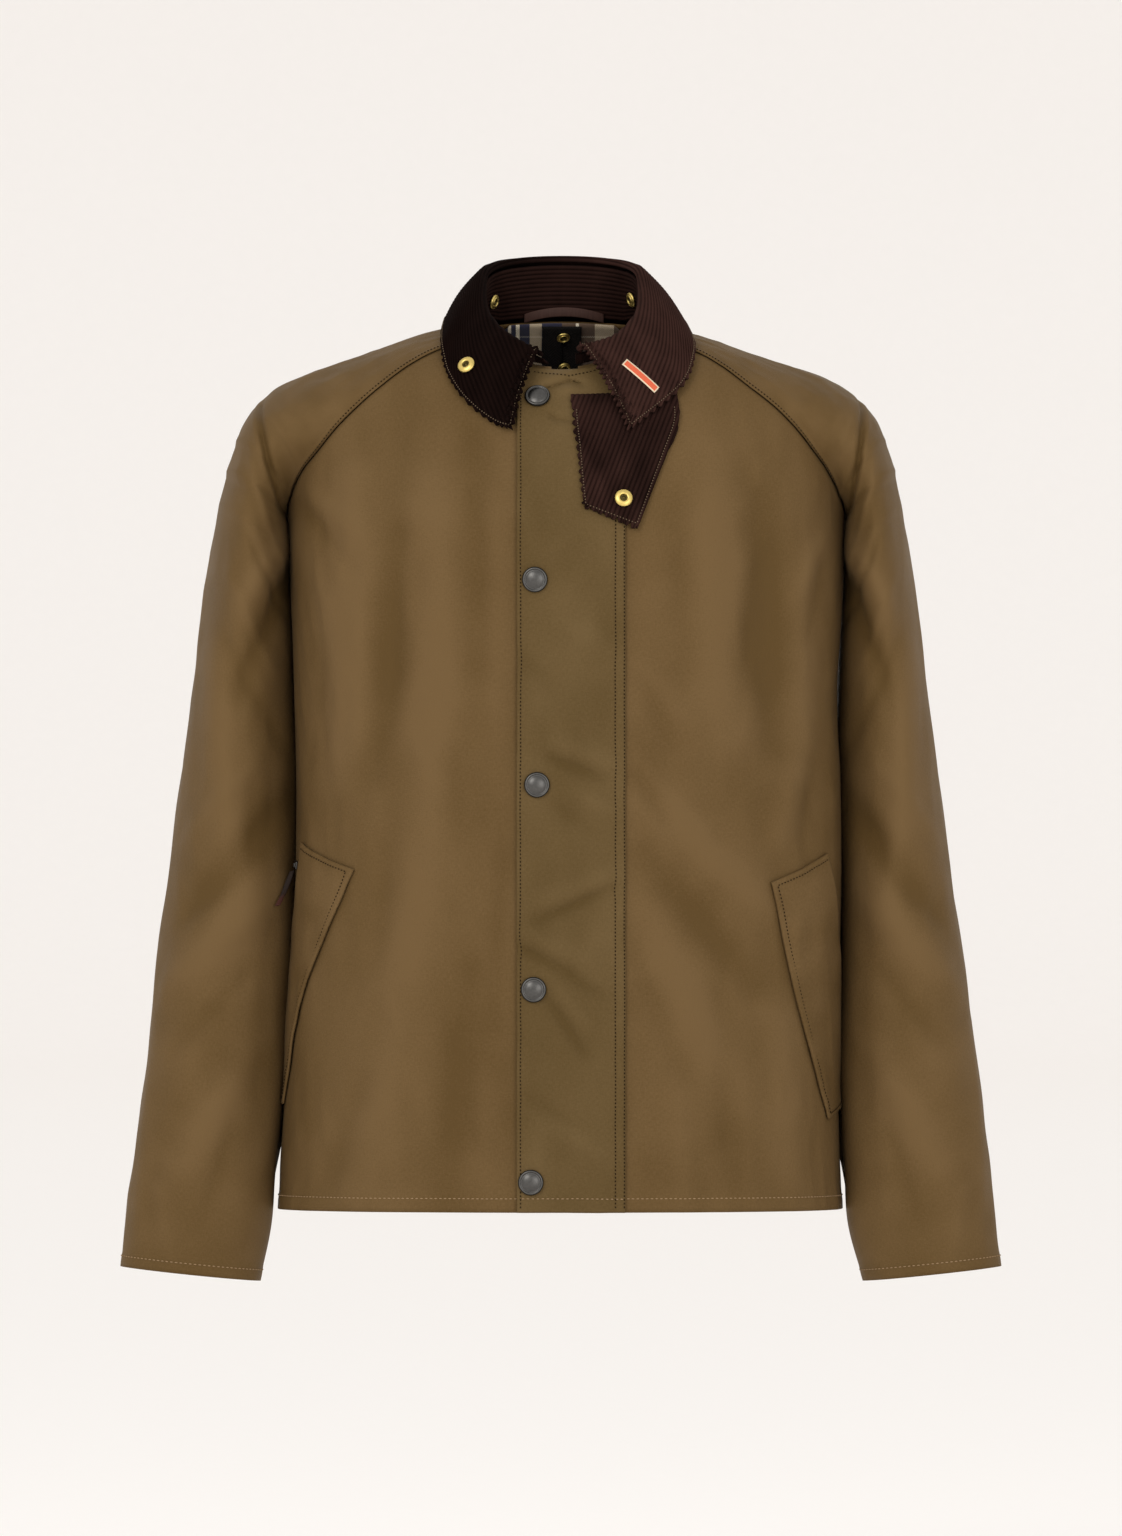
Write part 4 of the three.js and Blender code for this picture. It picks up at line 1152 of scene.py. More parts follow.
def finish_of(kind):
    """Each finish is made once and shared by its pieces."""
    if kind not in FINISHES:
        c = bpy.context.scene.jacket_colours
        makers = {
            "cotton": lambda: waxed_cotton("waxed_cotton", c.cotton),
            "flap": lambda: waxed_cotton("waxed_cotton_flap", c.flap),
            "corduroy": lambda: ribbed_corduroy("corduroy", c.corduroy),
            "lining": lambda: checked_lining(
                "check_lining", c.lining_ground, c.lining_field, c.lining_line, c.lining_patch
            ),
            "tape": lambda: herringbone_tape("herringbone_tape", c.tape),
            "satin": lambda: mottled(
                "satin_ribbon", c.satin, (0.7, 1.4), (1500, 2, (1, 0.06, 1)), 0.55, 0.08, (0.00015, 0.6), True
            ),
            "label": lambda: woven_label("woven_label", c.label, c.label_border),
            "gunmetal": lambda: worn_metal("gunmetal", c.gunmetal, 0.36),
            # Darker copies of the metals: painted shade for the fittings' grooves, hollows and rims.
            "gunmetal_dark": lambda: worn_metal("gunmetal_rim", shaded(c.gunmetal, 0.3)[:3], 0.4),
            "brass": lambda: worn_metal("brass", c.brass, 0.4),
            "brass_dark": lambda: worn_metal("brass_hollow", shaded(c.brass, 0.12)[:3], 0.45),
            "leather": lambda: soft_leather("leather", c.leather, c.leather_tip),
            "thread": lambda: spun_thread("seam_thread", c.thread),
            "collar_thread": lambda: spun_thread("collar_thread", c.collar_thread),
            "pale_thread": lambda: spun_thread("pale_thread", c.pale_thread),
            "paper": lambda: mottled("studio_paper", c.paper, (0.985, 1.0), (40, 3), 0.9, 0.1),
        }
        FINISHES[kind] = makers[kind]()
    return FINISHES[kind]


# Stitching


def sewn(bm, surface, a, b, step, lift, length=None):
    """Lay small stitches end to end along a path of places on a surface."""
    a, b = np.broadcast_arrays(np.asarray(a, float), np.asarray(b, float))
    faces = outward(surface, a, b, *step)
    points = surface(a, b) + faces * lift
    long, wide = length or mm("stitch"), mm("thread")
    run = np.concatenate([[0], np.cumsum(np.linalg.norm(np.diff(points, axis=0), axis=1))])
    count = max(int(run[-1] // (long + mm("stitch_gap"))), 1)
    pitch = run[-1] / count

    def along(values, at):
        return np.stack([np.interp(at, run, values[:, k]) for k in range(3)], -1)

    at = (np.arange(count) + 0.5) * pitch
    ahead = unit(along(points, at + pitch * 0.3) - along(points, at - pitch * 0.3))
    for m, t, n in zip(along(points, at), ahead, unit(along(faces, at))):
        side = np.cross(n, t)
        turn = Matrix((t * long / 2, side * wide / 2, n * wide * 0.42)).transposed().to_4x4()
        place = Matrix.Translation(Vector((m + n * wide * 0.12) * MM))
        bmesh.ops.create_icosphere(bm, subdivisions=1, radius=MM, matrix=place @ turn)


def body_face(side):
    return lambda a, b: body_surface(side, a, -b)


# Panels


def panel_columns(side, share, start, neck_share, behind):
    """Angle and top edge of a panel's columns, from its start at the neck out to the side seam."""
    way = -1 if behind else 1
    x = mix(start, RAGLAN[0][5 if behind else 2], np.clip(share / neck_share, 0, 1))
    top = neck_back(x) if behind else neck_front(x)
    step = 9 * np.clip((share - neck_share) / (1 - neck_share), 0, 1)
    angle, z = seam_place(side, step, behind)
    angle = angle + way * SIDE_GAP_ANGLE * np.clip(step - 8, 0, 1)
    neck = share <= neck_share
    return np.where(neck, way * body_angle(side, x, top), angle), np.where(neck, top, z)


def back_columns(share):
    """Side, angle and top edge for the back, from the wearer's left seam to the right one."""
    side = np.where(share < 0.5, 1, -1)
    out = np.abs(share - 0.5) * 2
    right, left = (panel_columns(way, out, 0, BACK_NECK_SHARE, True) for way in (-1, 1))
    return side, *(np.where(side < 0, *pair) for pair in zip(right, left))


# Height of the folds and dents, kept as the relief mark from which the waxed cotton paints shade into hollows
# and light onto ridges.
def cloth_relief(folds, a, b, seed):
    return folded(folds, a, b) + 1.4 * crumple(a, b, seed)


def front_panel(side, node):
    def places(a, b):
        share = 1 - a if side < 0 else a
        angle, top = panel_columns(side, share, FRONT_EDGE_X[side], FRONT_NECK_SHARE, False)
        return angle, mix(top, HEM_Z, b**1.15)

    def measure(a, b):
        angle, z = places(a, b)
        return -side * angle * ANGLE_MM, z

    def relief(a, b):
        angle, z = places(a, b)
        return cloth_relief(FRONT_FOLDS + FRONT_CREASES, body_point(side, angle, z)[..., 0], z, 3)

    def laid(a, b):
        return body_surface(side, *places(a, b))

    piece = cloth_piece(node, (112, 186), laid, measure, mm("cloth"), "cotton", relief=relief)


def raglan_sleeve(side, node):
    edge = 1 - 0.6 / AROUND_MM

    def places(a, b):
        around = mix(-edge, edge, a)
        return (-around if side < 0 else around), CUFF * b

    def measure(a, b):
        around, step = places(a, b)
        return side * around * AROUND_MM, -step * STEP_MM

    def relief(a, b):
        around, step = places(a, b)
        return cloth_relief(SLEEVE_TABLE, step * STEP_MM, around * AROUND_MM, 5)

    def laid(a, b):
        return sleeve_surface(side, *places(a, b))

    piece = cloth_piece(node, (124, 236), laid, measure, mm("cloth"), "cotton", relief=relief)


class JacketPiece:
    bl_options = {"REGISTER", "UNDO"}


class JACKET_OT_fronts(JacketPiece, bpy.types.Operator):
    """Build the two front panels with their folds and turned-up hems"""

    bl_idname = "jacket.fronts"
    bl_label = "Fronts"

    def execute(self, context):
        front_panel(-1, "front_right")
        front_panel(1, "front_left")
        return {"FINISHED"}


class JACKET_OT_back(JacketPiece, bpy.types.Operator):
    """Build the one-piece back"""

    bl_idname = "jacket.back"
    bl_label = "Back"

    def execute(self, context):
        def places(a, b):
            side, angle, top = back_columns(a)
            return side, angle, mix(top, HEM_Z, b**1.15)

        def measure(a, b):
            side, angle, z = places(a, b)
            return -side * (90 + angle) * ANGLE_MM, z

        def relief(a, b):
            place = places(a, b)
            return cloth_relief(BACK_FOLDS + BACK_CREASES, body_point(*place)[..., 0], place[2], 3)

        def laid(a, b):
            return body_surface(*places(a, b))

        piece = cloth_piece("back_panel", (190, 176), laid, measure, mm("cloth"), "cotton", relief=relief)
        return {"FINISHED"}


class JACKET_OT_sleeves(JacketPiece, bpy.types.Operator):
    """Build the two one-piece raglan sleeves"""

    bl_idname = "jacket.sleeves"
    bl_label = "Sleeves"

    def execute(self, context):
        raglan_sleeve(-1, "sleeve_right")
        raglan_sleeve(1, "sleeve_left")
        return {"FINISHED"}


class JACKET_OT_storm_flap(JacketPiece, bpy.types.Operator):
    """Build the storm flap over the front opening"""

    bl_idname = "jacket.storm_flap"
    bl_label = "Storm flap"

    def execute(self, context):
        def places(a, b):
            return mix(FLAP_EDGE_X, FLAP_SEAM_X, a), b**1.1

        def raised(a, b):
            x, share = places(a, b)
            return flap_surface(x, share) + outward(flap_surface, x, share, 0.5, 0.002) * FLAP_LIFT

        def measure(a, b):
            x, share = places(a, b)
            return x, mix(flap_top(x), HEM_Z, share)

        def relief(a, b):
            return 1.6 * cloth_relief(FLAP_CREASES, *measure(a, b), 23)

        piece = cloth_piece("storm_flap", (56, 330), raised, measure, FLAP_THICK, "flap", relief=relief)
        return {"FINISHED"}


# Collar


def wales_of(part):
    return getattr(bpy.context.scene.jacket_sizes, f"{part}_wales")


def crest(run, pitch):
    """Rounded ridges, from 0 in a valley to 1 on top."""
    return np.abs(np.sin(math.pi * np.asarray(run) / pitch)) ** 0.75


def on_leaf(place):
    """1 on the two leaves of the fall, 0 on the band behind the neck."""
    return smooth(np.abs(place), 3.2, 6.2)


def fall_run(place, share):
    """Wales counted across the fall: along the band behind the neck, steeply down the two leaves."""
    place, share = np.broadcast_arrays(np.asarray(place, float), np.asarray(share, float))
    point, start = fall_surface(place, share), collar_station(np.where(place < 0, -5.0, 5.0))[1]
    away = LEAF_WALES[0] * (np.abs(point[..., 0]) - np.abs(start[..., 0]))
    away = away + LEAF_WALES[1] * (point[..., 2] - start[..., 2])
    return mix(share * wales_of("fall"), away / mm("wale"), on_leaf(place))


def fall_places(a, b):
    """Places on the fall, its edges scalloped where they cut across the wales."""
    place = mix(COLLAR_ENDS, -COLLAR_ENDS, a)
    notch = (1 - crest(fall_run(place, b), 1)) * on_leaf(place)
    share = b * (1 - 0.034 * notch * smooth(b, 0.9, 1))
    return place * (1 - 0.03 * notch * smooth(np.abs(place), 8, 9)), share


def wale_surface(surface, height, step):
    """A surface with its wales raised on it."""

    def raised(a, b):
        out = outward(surface, a, np.clip(b, step[1], 1 - step[1]), *step)
        return surface(a, b) + out * height(a, b)[..., None]

    return raised


def fall_wale(place, share):
    return mm("wale_rise") * crest(fall_run(place, share), 1)


def stand_wale(place, share):
    near_end = np.clip((COLLAR_ENDS - np.abs(place)) / 5, 0.1, 1)
    return mm("wale_rise") * near_end * crest(share * wales_of("stand"), 1)


def tab_wale(across, along):
    x, z = laid_across(TAB, along, across)
    return mm("wale_rise") * crest(x * TAB_ALONG[0] + z * TAB_ALONG[1], mm("wale"))


def tab_places(a, b):
    """Places on the tab, its left and lower edges scalloped."""
    left = 1 - crest(mix(-43, -130, b), TAB_SCALLOPS[0])
    across = a + 0.055 * left * smooth(1 - a, 0.93, 1) * smooth(b, 0.05, 0.2)
    lower = 1 - crest(mix(0, 46, a), TAB_SCALLOPS[1])
    return across, b * (1 - 0.03 * lower * smooth(b, 0.92, 1))


class JACKET_OT_collar(JacketPiece, bpy.types.Operator):
    """Build the corduroy collar: its stand and its fall with two leaves"""

    bl_idname = "jacket.collar"
    bl_label = "Collar"

    def execute(self, context):
        fall = wale_surface(fall_surface, fall_wale, FALL_STEP)
        piece = cloth_piece(
            "collar_fall", (330, int(wales_of("fall")) * 4),
            lambda a, b: fall(*fall_places(a, b)),
            lambda a, b: (mix(COLLAR_ENDS, -COLLAR_ENDS, a) * 22, -b * 82),
            COLLAR_THICK, "corduroy",
            wale=lambda a, b: crest(fall_run(*fall_places(a, b)), 1),
            # One leaf of the fall is painted much darker than the other, as painted shade.
            nap=lambda a, b: 0.9 * smooth(mix(COLLAR_ENDS, -COLLAR_ENDS, a), -2, 3),
        )

        stand = wale_surface(stand_surface, stand_wale, STAND_STEP)
        piece = cloth_piece(
            "collar_stand", (170, int(wales_of("stand")) * 4),
            lambda a, b: stand(mix(-COLLAR_ENDS, COLLAR_ENDS, a), b),
            lambda a, b: (mix(-COLLAR_ENDS, COLLAR_ENDS, a) * 20, -b * 45),
            STAND_THICK, "corduroy",
            wale=lambda a, b: crest(b * wales_of("stand"), 1),
            # The stand inside the neck is painted darker throughout, as painted shade.
            nap=lambda a, b: 0.36 + 0 * a,
        )
        return {"FINISHED"}


class JACKET_OT_throat_tab(JacketPiece, bpy.types.Operator):
    """Build the throat tab hanging from under the left-hand leaf"""

    bl_idname = "jacket.throat_tab"
    bl_label = "Throat tab"

    def execute(self, context):
        raised = wale_surface(tab_point, tab_wale, TAB_STEP)
        piece = cloth_piece(
            "throat_tab", (150, 62),
            lambda a, b: raised(*tab_places(a, b)), lengths(70, 105), COLLAR_THICK, "corduroy",
            wale=lambda a, b: tab_wale(*tab_places(a, b)) / mm("wale_rise"),
            # The tab is painted darker as shade, with random blotches of tone.
            nap=lambda a, b: 0.5 + 0.3 * bumps(a * 4, b * 5, 41),
        )
        return {"FINISHED"}


# Pockets, lining and trim


WELTS = ((-1, "pocket_welt_right", WELT_RIGHT), (1, "pocket_welt_left", WELT_LEFT))


def welt_surface(side, table):
    return lambda a, b: body_surface(side, *laid_across(table, b, 1 - a if side < 0 else a))


def pocket_welt(side, node, table):
    surface = welt_surface(side, table)

    def uneven(a, b):
        return bumps(a * 3, b * 12, 31)

    def raised(a, b):
        gape = 1.2 * np.sin(math.pi * b) * smooth(1 - a if side > 0 else a, 0.7, 1)
        out = outward(surface, a, b, *WELT_STEP)
        return surface(a, b) + out * (2.5 + gape + 0.25 * uneven(a, b))[..., None]

    piece = cloth_piece(
        node, (36, 72), raised, lengths(40, 190), WELT_THICK, "cotton",
        relief=lambda a, b: 1.5 * uneven(a, b),
    )


class JACKET_OT_pocket_welts(JacketPiece, bpy.types.Operator):
    """Build the slanted hand-warmer welts"""

    bl_idname = "jacket.pocket_welts"
    bl_label = "Pocket welts"

    def execute(self, context):
        for side, node, table in WELTS:
            pocket_welt(side, node, table)
        return {"FINISHED"}


def lining_place(a, b):
    x = mix(-1, 1, a) * read(LINING, mix(LINING[-1][0], LINING[0][0], b))[..., 0]
    return -x, mix(neck_back(x) + 1.2, LINING[0][0], b)


class JACKET_OT_neck_inside(JacketPiece, bpy.types.Operator):
    """Build what shows inside the neck: the back lining, the neck tape and the hanger loop"""

    bl_idname = "jacket.neck_inside"
    bl_label = "Inside the neck"

    def execute(self, context):
        def laid(a, b):
            x, z = lining_place(a, b)
            return back_point(x, z) - back_out(x, z) * LINING_BACK

        piece = cloth_piece("back_lining", (110, 60), laid, lining_place, LINING_THICK, "lining")

        def tape(a, b):
            x, z = mix(TAPE_HALF, -TAPE_HALF, a), mix(17, -40, b)
            return back_point(x, z) - back_out(x, z) * TAPE_BACK

        piece = cloth_piece("neck_tape", (20, 40), tape, lengths(30, 60), TAPE_THICK, "tape")

        def loop(a, b):
            share = mix(-1, 1, a)
            sag = LOOP["top"] - LOOP["drop"] * share**2 - b * LOOP["width"]
            return stacked(
                LOOP["middle"] + share * LOOP["half"],
                LOOP["depth"] - LOOP["bow"] * (1 - share**2) - 1.2 + 0.5 * (2 * b - 1) ** 2,
                sag,
            )

        cloth_piece("hanger_loop", (60, 10), loop, lengths(64, 7), LOOP["thick"], "satin")
        return {"FINISHED"}


class JACKET_OT_label(JacketPiece, bpy.types.Operator):
    """Build the plain label on the left-hand leaf"""

    bl_idname = "jacket.label"
    bl_label = "Leaf label"

    def execute(self, context):
        start, end = np.array(LABEL["from"]), np.array(LABEL["to"])
        run = math.dist(start, end)
        (dx, dz), half = (end - start) / run, LABEL["width"] / 2
        corners = np.array([
            [
                place_at(fall_surface, start[0] + dx * p + dz * q, start[1] + dz * p - dx * q, (6.5, 0.5))
                for q in (-half, half)
            ]
            for p in (0, run)
        ])

        def laid(a, b):
            a, b = a[:, None], b[:, None]
            at = mix(mix(corners[0, 0], corners[1, 0], a), mix(corners[0, 1], corners[1, 1], a), b)
            place, share = at[:, 0], at[:, 1]
            out = outward(fall_surface, place, share, *FALL_STEP)
            return fall_surface(place, share) + out * (1.1 + LABEL["thick"])

        cloth_piece(
            "leaf_label", (16, 4), laid, lambda a, b: ((a - 0.5) * run, (0.5 - b) * LABEL["width"]),
            LABEL["thick"], "label",
        )
        return {"FINISHED"}


CAP_OUTLINE = [
    (0, 0), (8.6, 0), (9.5, 0.5), (9.7, 1.1), (9.5, 1.8), (9, 2.3), (8.4, 2.5), (7.9, 2.35),
    (7.6, 2), (7.1, 1.95), (6.7, 2.25), (5.6, 2.8), (4, 3.3), (2, 3.65), (0.8, 3.75), (0, 3.76),
]


def socket_outline(radius):
    return [
        (0, 0), (radius - 0.3, 0), (radius, 0.3), (radius, 0.9), (radius - 0.5, 1.5), (radius - 1.4, 1.9),
        (radius - 2.2, 2.25), (3.9, 2.4), (3.2, 2.3), (2.7, 1.8), (2.5, 0.9), (1.5, 0.8), (1.2, 1.3),
        (0.6, 1.55), (0, 1.6),
    ]


def fitting(name, outline, place, out, metal, dark):
    """A round fitting on a place. Between two radii above a height, and past a third, it takes a darker copy
    of its metal as painted shade.
    """
    bm = spun(outline, place, out)
    axis, centre = Vector(out), Vector(place * MM)
    inner, outer, low, rim = dark
    for face in bm.faces:
        away = face.calc_center_median() - centre
        height = away.dot(axis)
        radius = (away - axis * height).length / MM
        sunk = inner < radius < outer and height / MM > low
        face.material_index = int(sunk or radius > rim)
    settled(meshed(f"{name}_metal", bm), metal, [finish_of(metal), finish_of(f"{metal}_dark")], name)


class JACKET_OT_snaps(JacketPiece, bpy.types.Operator):
    """Build the snap caps, sockets and studs"""

    bl_idname = "jacket.snaps"
    bl_label = "Snaps"

    def execute(self, context):
        for i, (x, z) in enumerate(np.array(CAPS)):
            out = front_out(x, z)
            place = front_point(x, z) + out * (FLAP_LIFT + 0.35)
            # The cap's groove and outer rim take the darker gunmetal, as painted shade.
            fitting(f"snap_cap_{i + 1}", CAP_OUTLINE, place, out, "gunmetal", (6.9, 8, 2, 9.05))
        # The sockets' central hollow takes the darker brass, as painted shade.
        hollow = (0, 2.75, 0.2, 9)
        # Name, surface, x and z in front view, first guess there, steps, radius, lift
        sockets = [
            ("leaf_socket", fall_surface, (-72, -20.5), (-5.5, 0.6), FALL_STEP, 6.8, 0.4),
            ("tab_socket", tab_point, (46.4, -122), (0.7, 0.85), TAB_STEP, 6.8, 0.4),
            ("stand_socket_right", stand_surface, (-53.5, 31.5), (-2.6, 0.5), STAND_STEP, 5.8, 0.8),
            ("stand_socket_left", stand_surface, (54.5, 33), (2.6, 0.5), STAND_STEP, 5.8, 0.8),
        ]
        for name, surface, (x, z), guess, step, radius, lift in sockets:
            a, b = place_at(surface, x, z, guess)
            out = outward(surface, a, b, *step)
            place = surface(a, b) + out * (mm("wale_rise") + lift)
            fitting(name, socket_outline(radius), place, out, "brass", hollow)
        for name, z in (("tape_stud_upper", 9.4), ("tape_stud_lower", -15)):
            middle, z = np.float64(0), np.float64(z)
            out = -back_out(middle, z)
            place = back_point(middle, z) + out * (TAPE_BACK + TAPE_THICK + 0.3)
            fitting(name, socket_outline(5.2), place, out, "brass", hollow)
        return {"FINISHED"}


class JACKET_OT_puller(JacketPiece, bpy.types.Operator):
    """Build the zip slider at the side and its limp leather puller"""

    bl_idname = "jacket.puller"
    bl_label = "Puller"

    def execute(self, context):
        start, end = np.array(PULLER_FROM, float), np.array(PULLER_TO, float)
        over = unit(np.array([-1, 0, -0.35])) * -1.9
        out = unit(np.cross(end - start, over))

        def hanging(a, b):
            middle = mix(start, end, b[:, None]) + out * (1.2 - 1.5 * np.sin(math.pi * b))[:, None]
            narrow = 1 - 0.35 * smooth(b, 0.25, 0) + 0.12 * np.sin(2 * math.pi * b)
            curl = out * (0.5 * (2 * a - 1) ** 2)[:, None]
            return middle + over * ((2 * a - 1) * narrow)[:, None] + curl

        piece = laid_grid("pull_tab_leather", 8, 40, hanging, lambda a, b: (a * 3.8, b * 30))
        walled(piece, 1.1)
        settled(piece, "leather", [finish_of("leather")], "pull_tab")

        low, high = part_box("pull_slider")
        middle = (Vector(low) + Vector(high)) / 2
        facing = outward(body_face(-1), np.float64(SLIDER["angle"]), np.float64(-SLIDER["z"]), 0.4, 2)
        bm = bmesh.new()
        bmesh.ops.create_cube(bm, size=1, matrix=Matrix.Diagonal((0.0058, 0.0088, 0.0026, 1)))
        bevelled(bm, list(bm.edges), 0.0008, 3)
        ring = Matrix.Translation((0, -0.001, 0.0016)) @ Matrix.Diagonal((0.0034, 0.005, 0.0016, 1))
        bridge = bmesh.ops.create_cube(bm, size=1, matrix=ring)["verts"]
        bevelled(bm, list({e for v in bridge for e in v.link_edges}), 0.0005, 2)
        bmesh.ops.transform(bm, matrix=Matrix.Translation(middle) @ turned_to(facing), verts=bm.verts)
        settled(meshed("pull_slider_metal", bm), "gunmetal", [finish_of("gunmetal")], "pull_slider")
        return {"FINISHED"}


class JACKET_OT_stitching(JacketPiece, bpy.types.Operator):
    """Sew the seams, hems and edges with small raised stitches"""

    bl_idname = "jacket.stitching"
    bl_label = "Stitching"

    def execute(self, context):
        dark, pale, fine = bmesh.new(), bmesh.new(), bmesh.new()
        down = np.linspace(0, 1, 220)
        hem = HEM_Z + HEM_STITCH
        for side in (-1, 1):
            centre = float(body_angle(side, np.float64(FRONT_EDGE_X[side]), np.float64(hem)))
            for start, end in ((SIDE_SEAM_ANGLE + 0.5, centre), (-90, SIDE_SEAM_ANGLE - 0.5)):
                path = np.linspace(start, end, 160)
                sewn(pale, body_face(side), path, -hem, (-side * 0.4, 2), 0.3, PALE_STITCH)
            face, step = partial(sleeve_surface, side), (side * 0.01, 0.02)
            sewn(pale, face, np.linspace(-0.98, 0.98, 200), CUFF - 8 / 43, step, 0.3, PALE_STITCH)
            steps = np.linspace(0.1, 8.4, 200)
            inside = 1 - 3.1 / half_way_round(sleeve_section(side, steps))
            for way in (-1, 1):
                sewn(dark, face, way * inside, steps, step, 0.35)

        lift = FLAP_LIFT + 0.3
        for x in (FLAP_EDGE_X + 2.8, *(FLAP_SEAM_X - inset for inset in FLAP_GROOVES)):
            sewn(dark, flap_surface, x, down[1:-1], FLAP_STEP, lift)
        across = np.linspace(FLAP_EDGE_X + 2.8, FLAP_SEAM_X - 1.2, 60)
        share = (hem - flap_top(across)) / (HEM_Z - flap_top(across))
        sewn(pale, flap_surface, across, share, FLAP_STEP, lift, PALE_STITCH)
        across = np.linspace(-22, 26, 40)
        sewn(dark, flap_surface, across, 4.4 / (flap_top(across) - HEM_Z), FLAP_STEP, lift)

        rise = mm("wale_rise") * 0.8
        place = np.linspace(8.78, -8.78, 400)
        for surface, step, a, b in (
            (fall_surface, FALL_STEP, -8.78, np.linspace(0.06, 0.955, 90)),
            (fall_surface, FALL_STEP, 8.78, np.linspace(0.06, 0.955, 90)),
            (fall_surface, FALL_STEP, place, 1 - 2.9 / fall_length(place)),
            (tab_point, TAB_STEP, 0.045, down[30:-8]),
            (tab_point, TAB_STEP, 0.955, down[30:-8]),
            (tab_point, TAB_STEP, np.linspace(0.05, 0.95, 60), 0.965),
        ):
            sewn(fine, surface, a, b, step, rise, FINE_STITCH)

        for side, _, table in WELTS:
            surface = welt_surface(side, table)
            slit, back = (0.93, 0.04) if side < 0 else (0.07, 0.96)
            ends = np.linspace(min(slit, back), max(slit, back), 40)
            sewn(dark, surface, slit, np.linspace(0.02, 0.98, 120), WELT_STEP, 3.1)
            for b in (0.02, 0.98):
                sewn(dark, surface, ends, b, WELT_STEP, 2.85)
        settled(meshed("seam_stitches", dark), "cotton", [finish_of("thread")])
        settled(meshed("edge_stitches", pale), "cotton", [finish_of("pale_thread")])
        settled(meshed("collar_stitches", fine), "corduroy", [finish_of("collar_thread")])
        return {"FINISHED"}


class JACKET_OT_stage(JacketPiece, bpy.types.Operator):
    """Set out the pale floor, the soft lights and the camera"""

    bl_idname = "jacket.stage"
    bl_label = "Stage"

    def execute(self, context):
        scene = context.scene
        bm = bmesh.new()
        bmesh.ops.create_grid(bm, x_segments=1, y_segments=1, size=FLOOR_REACH)
        back = [e for e in bm.edges if all(v.co.y > 0 for v in e.verts)]
        wall = bmesh.ops.extrude_edge_only(bm, edges=back)["geom"]
        risen = [v for v in wall if isinstance(v, bmesh.types.BMVert)]
        bmesh.ops.translate(bm, vec=(0, 0, WALL_HEIGHT), verts=risen)
        bevelled(bm, back, 3.0, 16)
        bmesh.ops.translate(bm, vec=(0, 0, FLOOR_Z), verts=bm.verts)
        floor = meshed("studio_floor", bm)
        floor.data.materials.append(finish_of("paper"))

        for name, place, size, power, colour in LIGHTS:
            lamp = bpy.data.lights.new(name, "AREA")
            lamp.shape, lamp.size, lamp.energy, lamp.color = "SQUARE", size, power, colour
            holder = bpy.data.objects.new(name, lamp)
            holder.location = place
            holder.rotation_euler = (Vector(AIM) - Vector(place)).to_track_quat("-Z", "Y").to_euler()
            scene.collection.objects.link(holder)

        world = bpy.data.worlds.new("studio_air")
        world.use_nodes = True
        sky = world.node_tree.nodes["Background"]
        sky.inputs[0].default_value = (1, 0.985, 0.965, 1)
        sky.inputs[1].default_value = 0.96
        scene.world = world
        scene.view_settings.view_transform = "Standard"

        camera = bpy.data.cameras.new("front_camera")
        camera.sensor_fit = "VERTICAL"
        camera.sensor_height = 36
        camera.lens = 36 * CAMERA_AWAY / VIEW_HEIGHT
        camera.clip_end = 60
        holder = bpy.data.objects.new("front_camera", camera)
        holder.location = (-0.00076, -CAMERA_AWAY - 0.04, -0.32528)
        holder.rotation_euler = (math.pi / 2, 0, 0)
        scene.collection.objects.link(holder)
        scene.camera = holder
        return {"FINISHED"}


# Settings and panel


def colour_setting(name, description, default):
    return FloatVectorProperty(
        name=name, description=description, default=default, size=3, min=0, max=1, subtype="COLOR"
    )


def length_setting(name, description, default):
    return FloatProperty(
        name=name, description=description, default=default, min=0, unit="LENGTH", precision=5
    )


def count_setting(name, description, default):
    return FloatProperty(name=name, description=description, default=default, min=4)


class JacketSizes(bpy.types.PropertyGroup):
    cloth: length_setting("Cloth", "Thickness of the waxed cotton and its lining", 0.0016)
    stitch: length_setting("Stitch", "Length of a seam stitch", 0.0018)
    stitch_gap: length_setting("Stitch gap", "Gap between stitches", 0.001)
    thread: length_setting("Thread", "Thickness of the thread", 0.001)
    wale: length_setting("Wale", "Distance between corduroy wales on the tab", 0.0035)
    wale_rise: length_setting("Wale height", "Height of the corduroy wales", 0.0008)
    fall_wales: count_setting("Fall wales", "Wales across the collar fall", 23)
    stand_wales: count_setting("Stand wales", "Wales across the collar stand", 12)


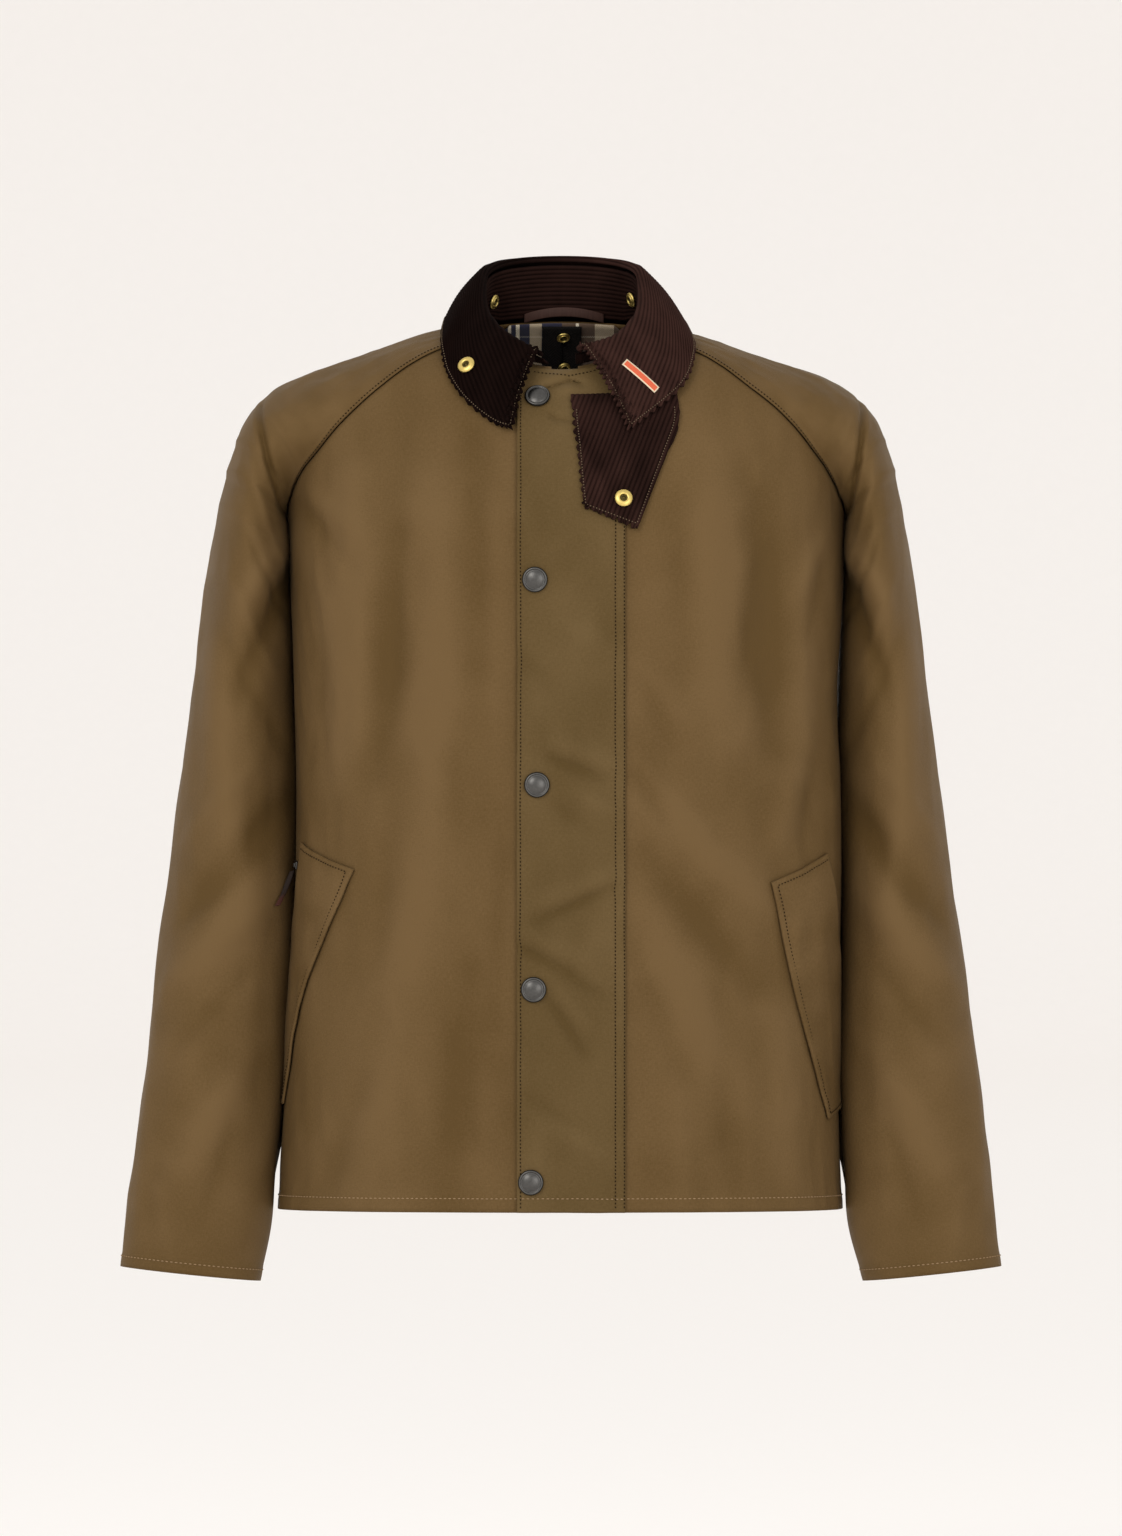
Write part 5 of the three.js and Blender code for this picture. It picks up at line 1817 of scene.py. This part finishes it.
class JacketColours(bpy.types.PropertyGroup):
    cotton: colour_setting("Cotton", "Waxed cotton of the body and sleeves", (0.102, 0.0605, 0.0232))
    flap: colour_setting("Flap", "Waxed cotton of the storm flap", (0.089, 0.056, 0.0212))
    corduroy: colour_setting("Corduroy", "Collar and throat tab", (0.0265, 0.012, 0.0094))
    lining_ground: colour_setting("Lining navy", "Dark ground of the lining check", (0.011, 0.016, 0.04))
    lining_field: colour_setting("Lining olive", "Light ground of the lining check", (0.08, 0.052, 0.035))
    lining_line: colour_setting("Lining line", "Thin lines of the lining check", (0.6, 0.54, 0.42))
    lining_patch: colour_setting("Lining grey", "Pale bands of the lining check", (0.36, 0.29, 0.2))
    tape: colour_setting("Neck tape", "Herringbone tape", (0.006, 0.005, 0.0045))
    satin: colour_setting("Hanger loop", "Satin ribbon", (0.045, 0.023, 0.018))
    gunmetal: colour_setting("Snap caps", "Gunmetal plating", (0.085, 0.082, 0.078))
    brass: colour_setting("Sockets", "Brass fittings", (0.66, 0.5, 0.16))
    label: colour_setting("Label", "Ground of the leaf label", (0.62, 0.1, 0.035))
    label_border: colour_setting("Label border", "Border of the leaf label", (0.75, 0.6, 0.42))
    leather: colour_setting("Puller", "Leather puller", (0.02, 0.012, 0.009))
    leather_tip: colour_setting("Puller tip", "Cut end of the leather puller", (0.05, 0.016, 0.011))
    # The seam thread is its own dark brown, painted darker still with the shade of the holes it is sewn
    # through.
    thread: colour_setting("Seam thread", "Thread of the seams", (0.018, 0.011, 0.005))
    pale_thread: colour_setting("Edge thread", "Thread of the hems", (0.27, 0.18, 0.1))
    collar_thread: colour_setting("Collar thread", "Thread of the collar edges", (0.12, 0.085, 0.055))
    paper: colour_setting("Floor", "Studio floor", (0.97, 0.945, 0.925))


PIECES = (
    JACKET_OT_fronts,
    JACKET_OT_back,
    JACKET_OT_sleeves,
    JACKET_OT_storm_flap,
    JACKET_OT_collar,
    JACKET_OT_throat_tab,
    JACKET_OT_pocket_welts,
    JACKET_OT_neck_inside,
    JACKET_OT_label,
    JACKET_OT_snaps,
    JACKET_OT_puller,
    JACKET_OT_stitching,
    JACKET_OT_stage,
)


class JACKET_PT_pieces(bpy.types.Panel):
    """List the jacket's settings and pieces"""

    bl_label = "Waxed cotton jacket"
    bl_space_type = "VIEW_3D"
    bl_region_type = "UI"
    bl_category = "Jacket"

    def draw(self, context):
        for settings in (context.scene.jacket_sizes, context.scene.jacket_colours):
            box = self.layout.box()
            for key in settings.__annotations__:
                box.prop(settings, key)
        for piece in PIECES:
            self.layout.operator(piece.bl_idname)


CLASSES = (JacketSizes, JacketColours, *PIECES, JACKET_PT_pieces)


def register():
    for each in CLASSES:
        bpy.utils.register_class(each)
    bpy.types.Scene.jacket_sizes = PointerProperty(type=JacketSizes)
    bpy.types.Scene.jacket_colours = PointerProperty(type=JacketColours)


def unregister():
    del bpy.types.Scene.jacket_colours
    del bpy.types.Scene.jacket_sizes
    for each in reversed(CLASSES):
        bpy.utils.unregister_class(each)


def main():
    register()
    for piece in PIECES:
        group, name = piece.bl_idname.split(".")
        getattr(getattr(bpy.ops, group), name)()


if __name__ == "__main__":
    main()
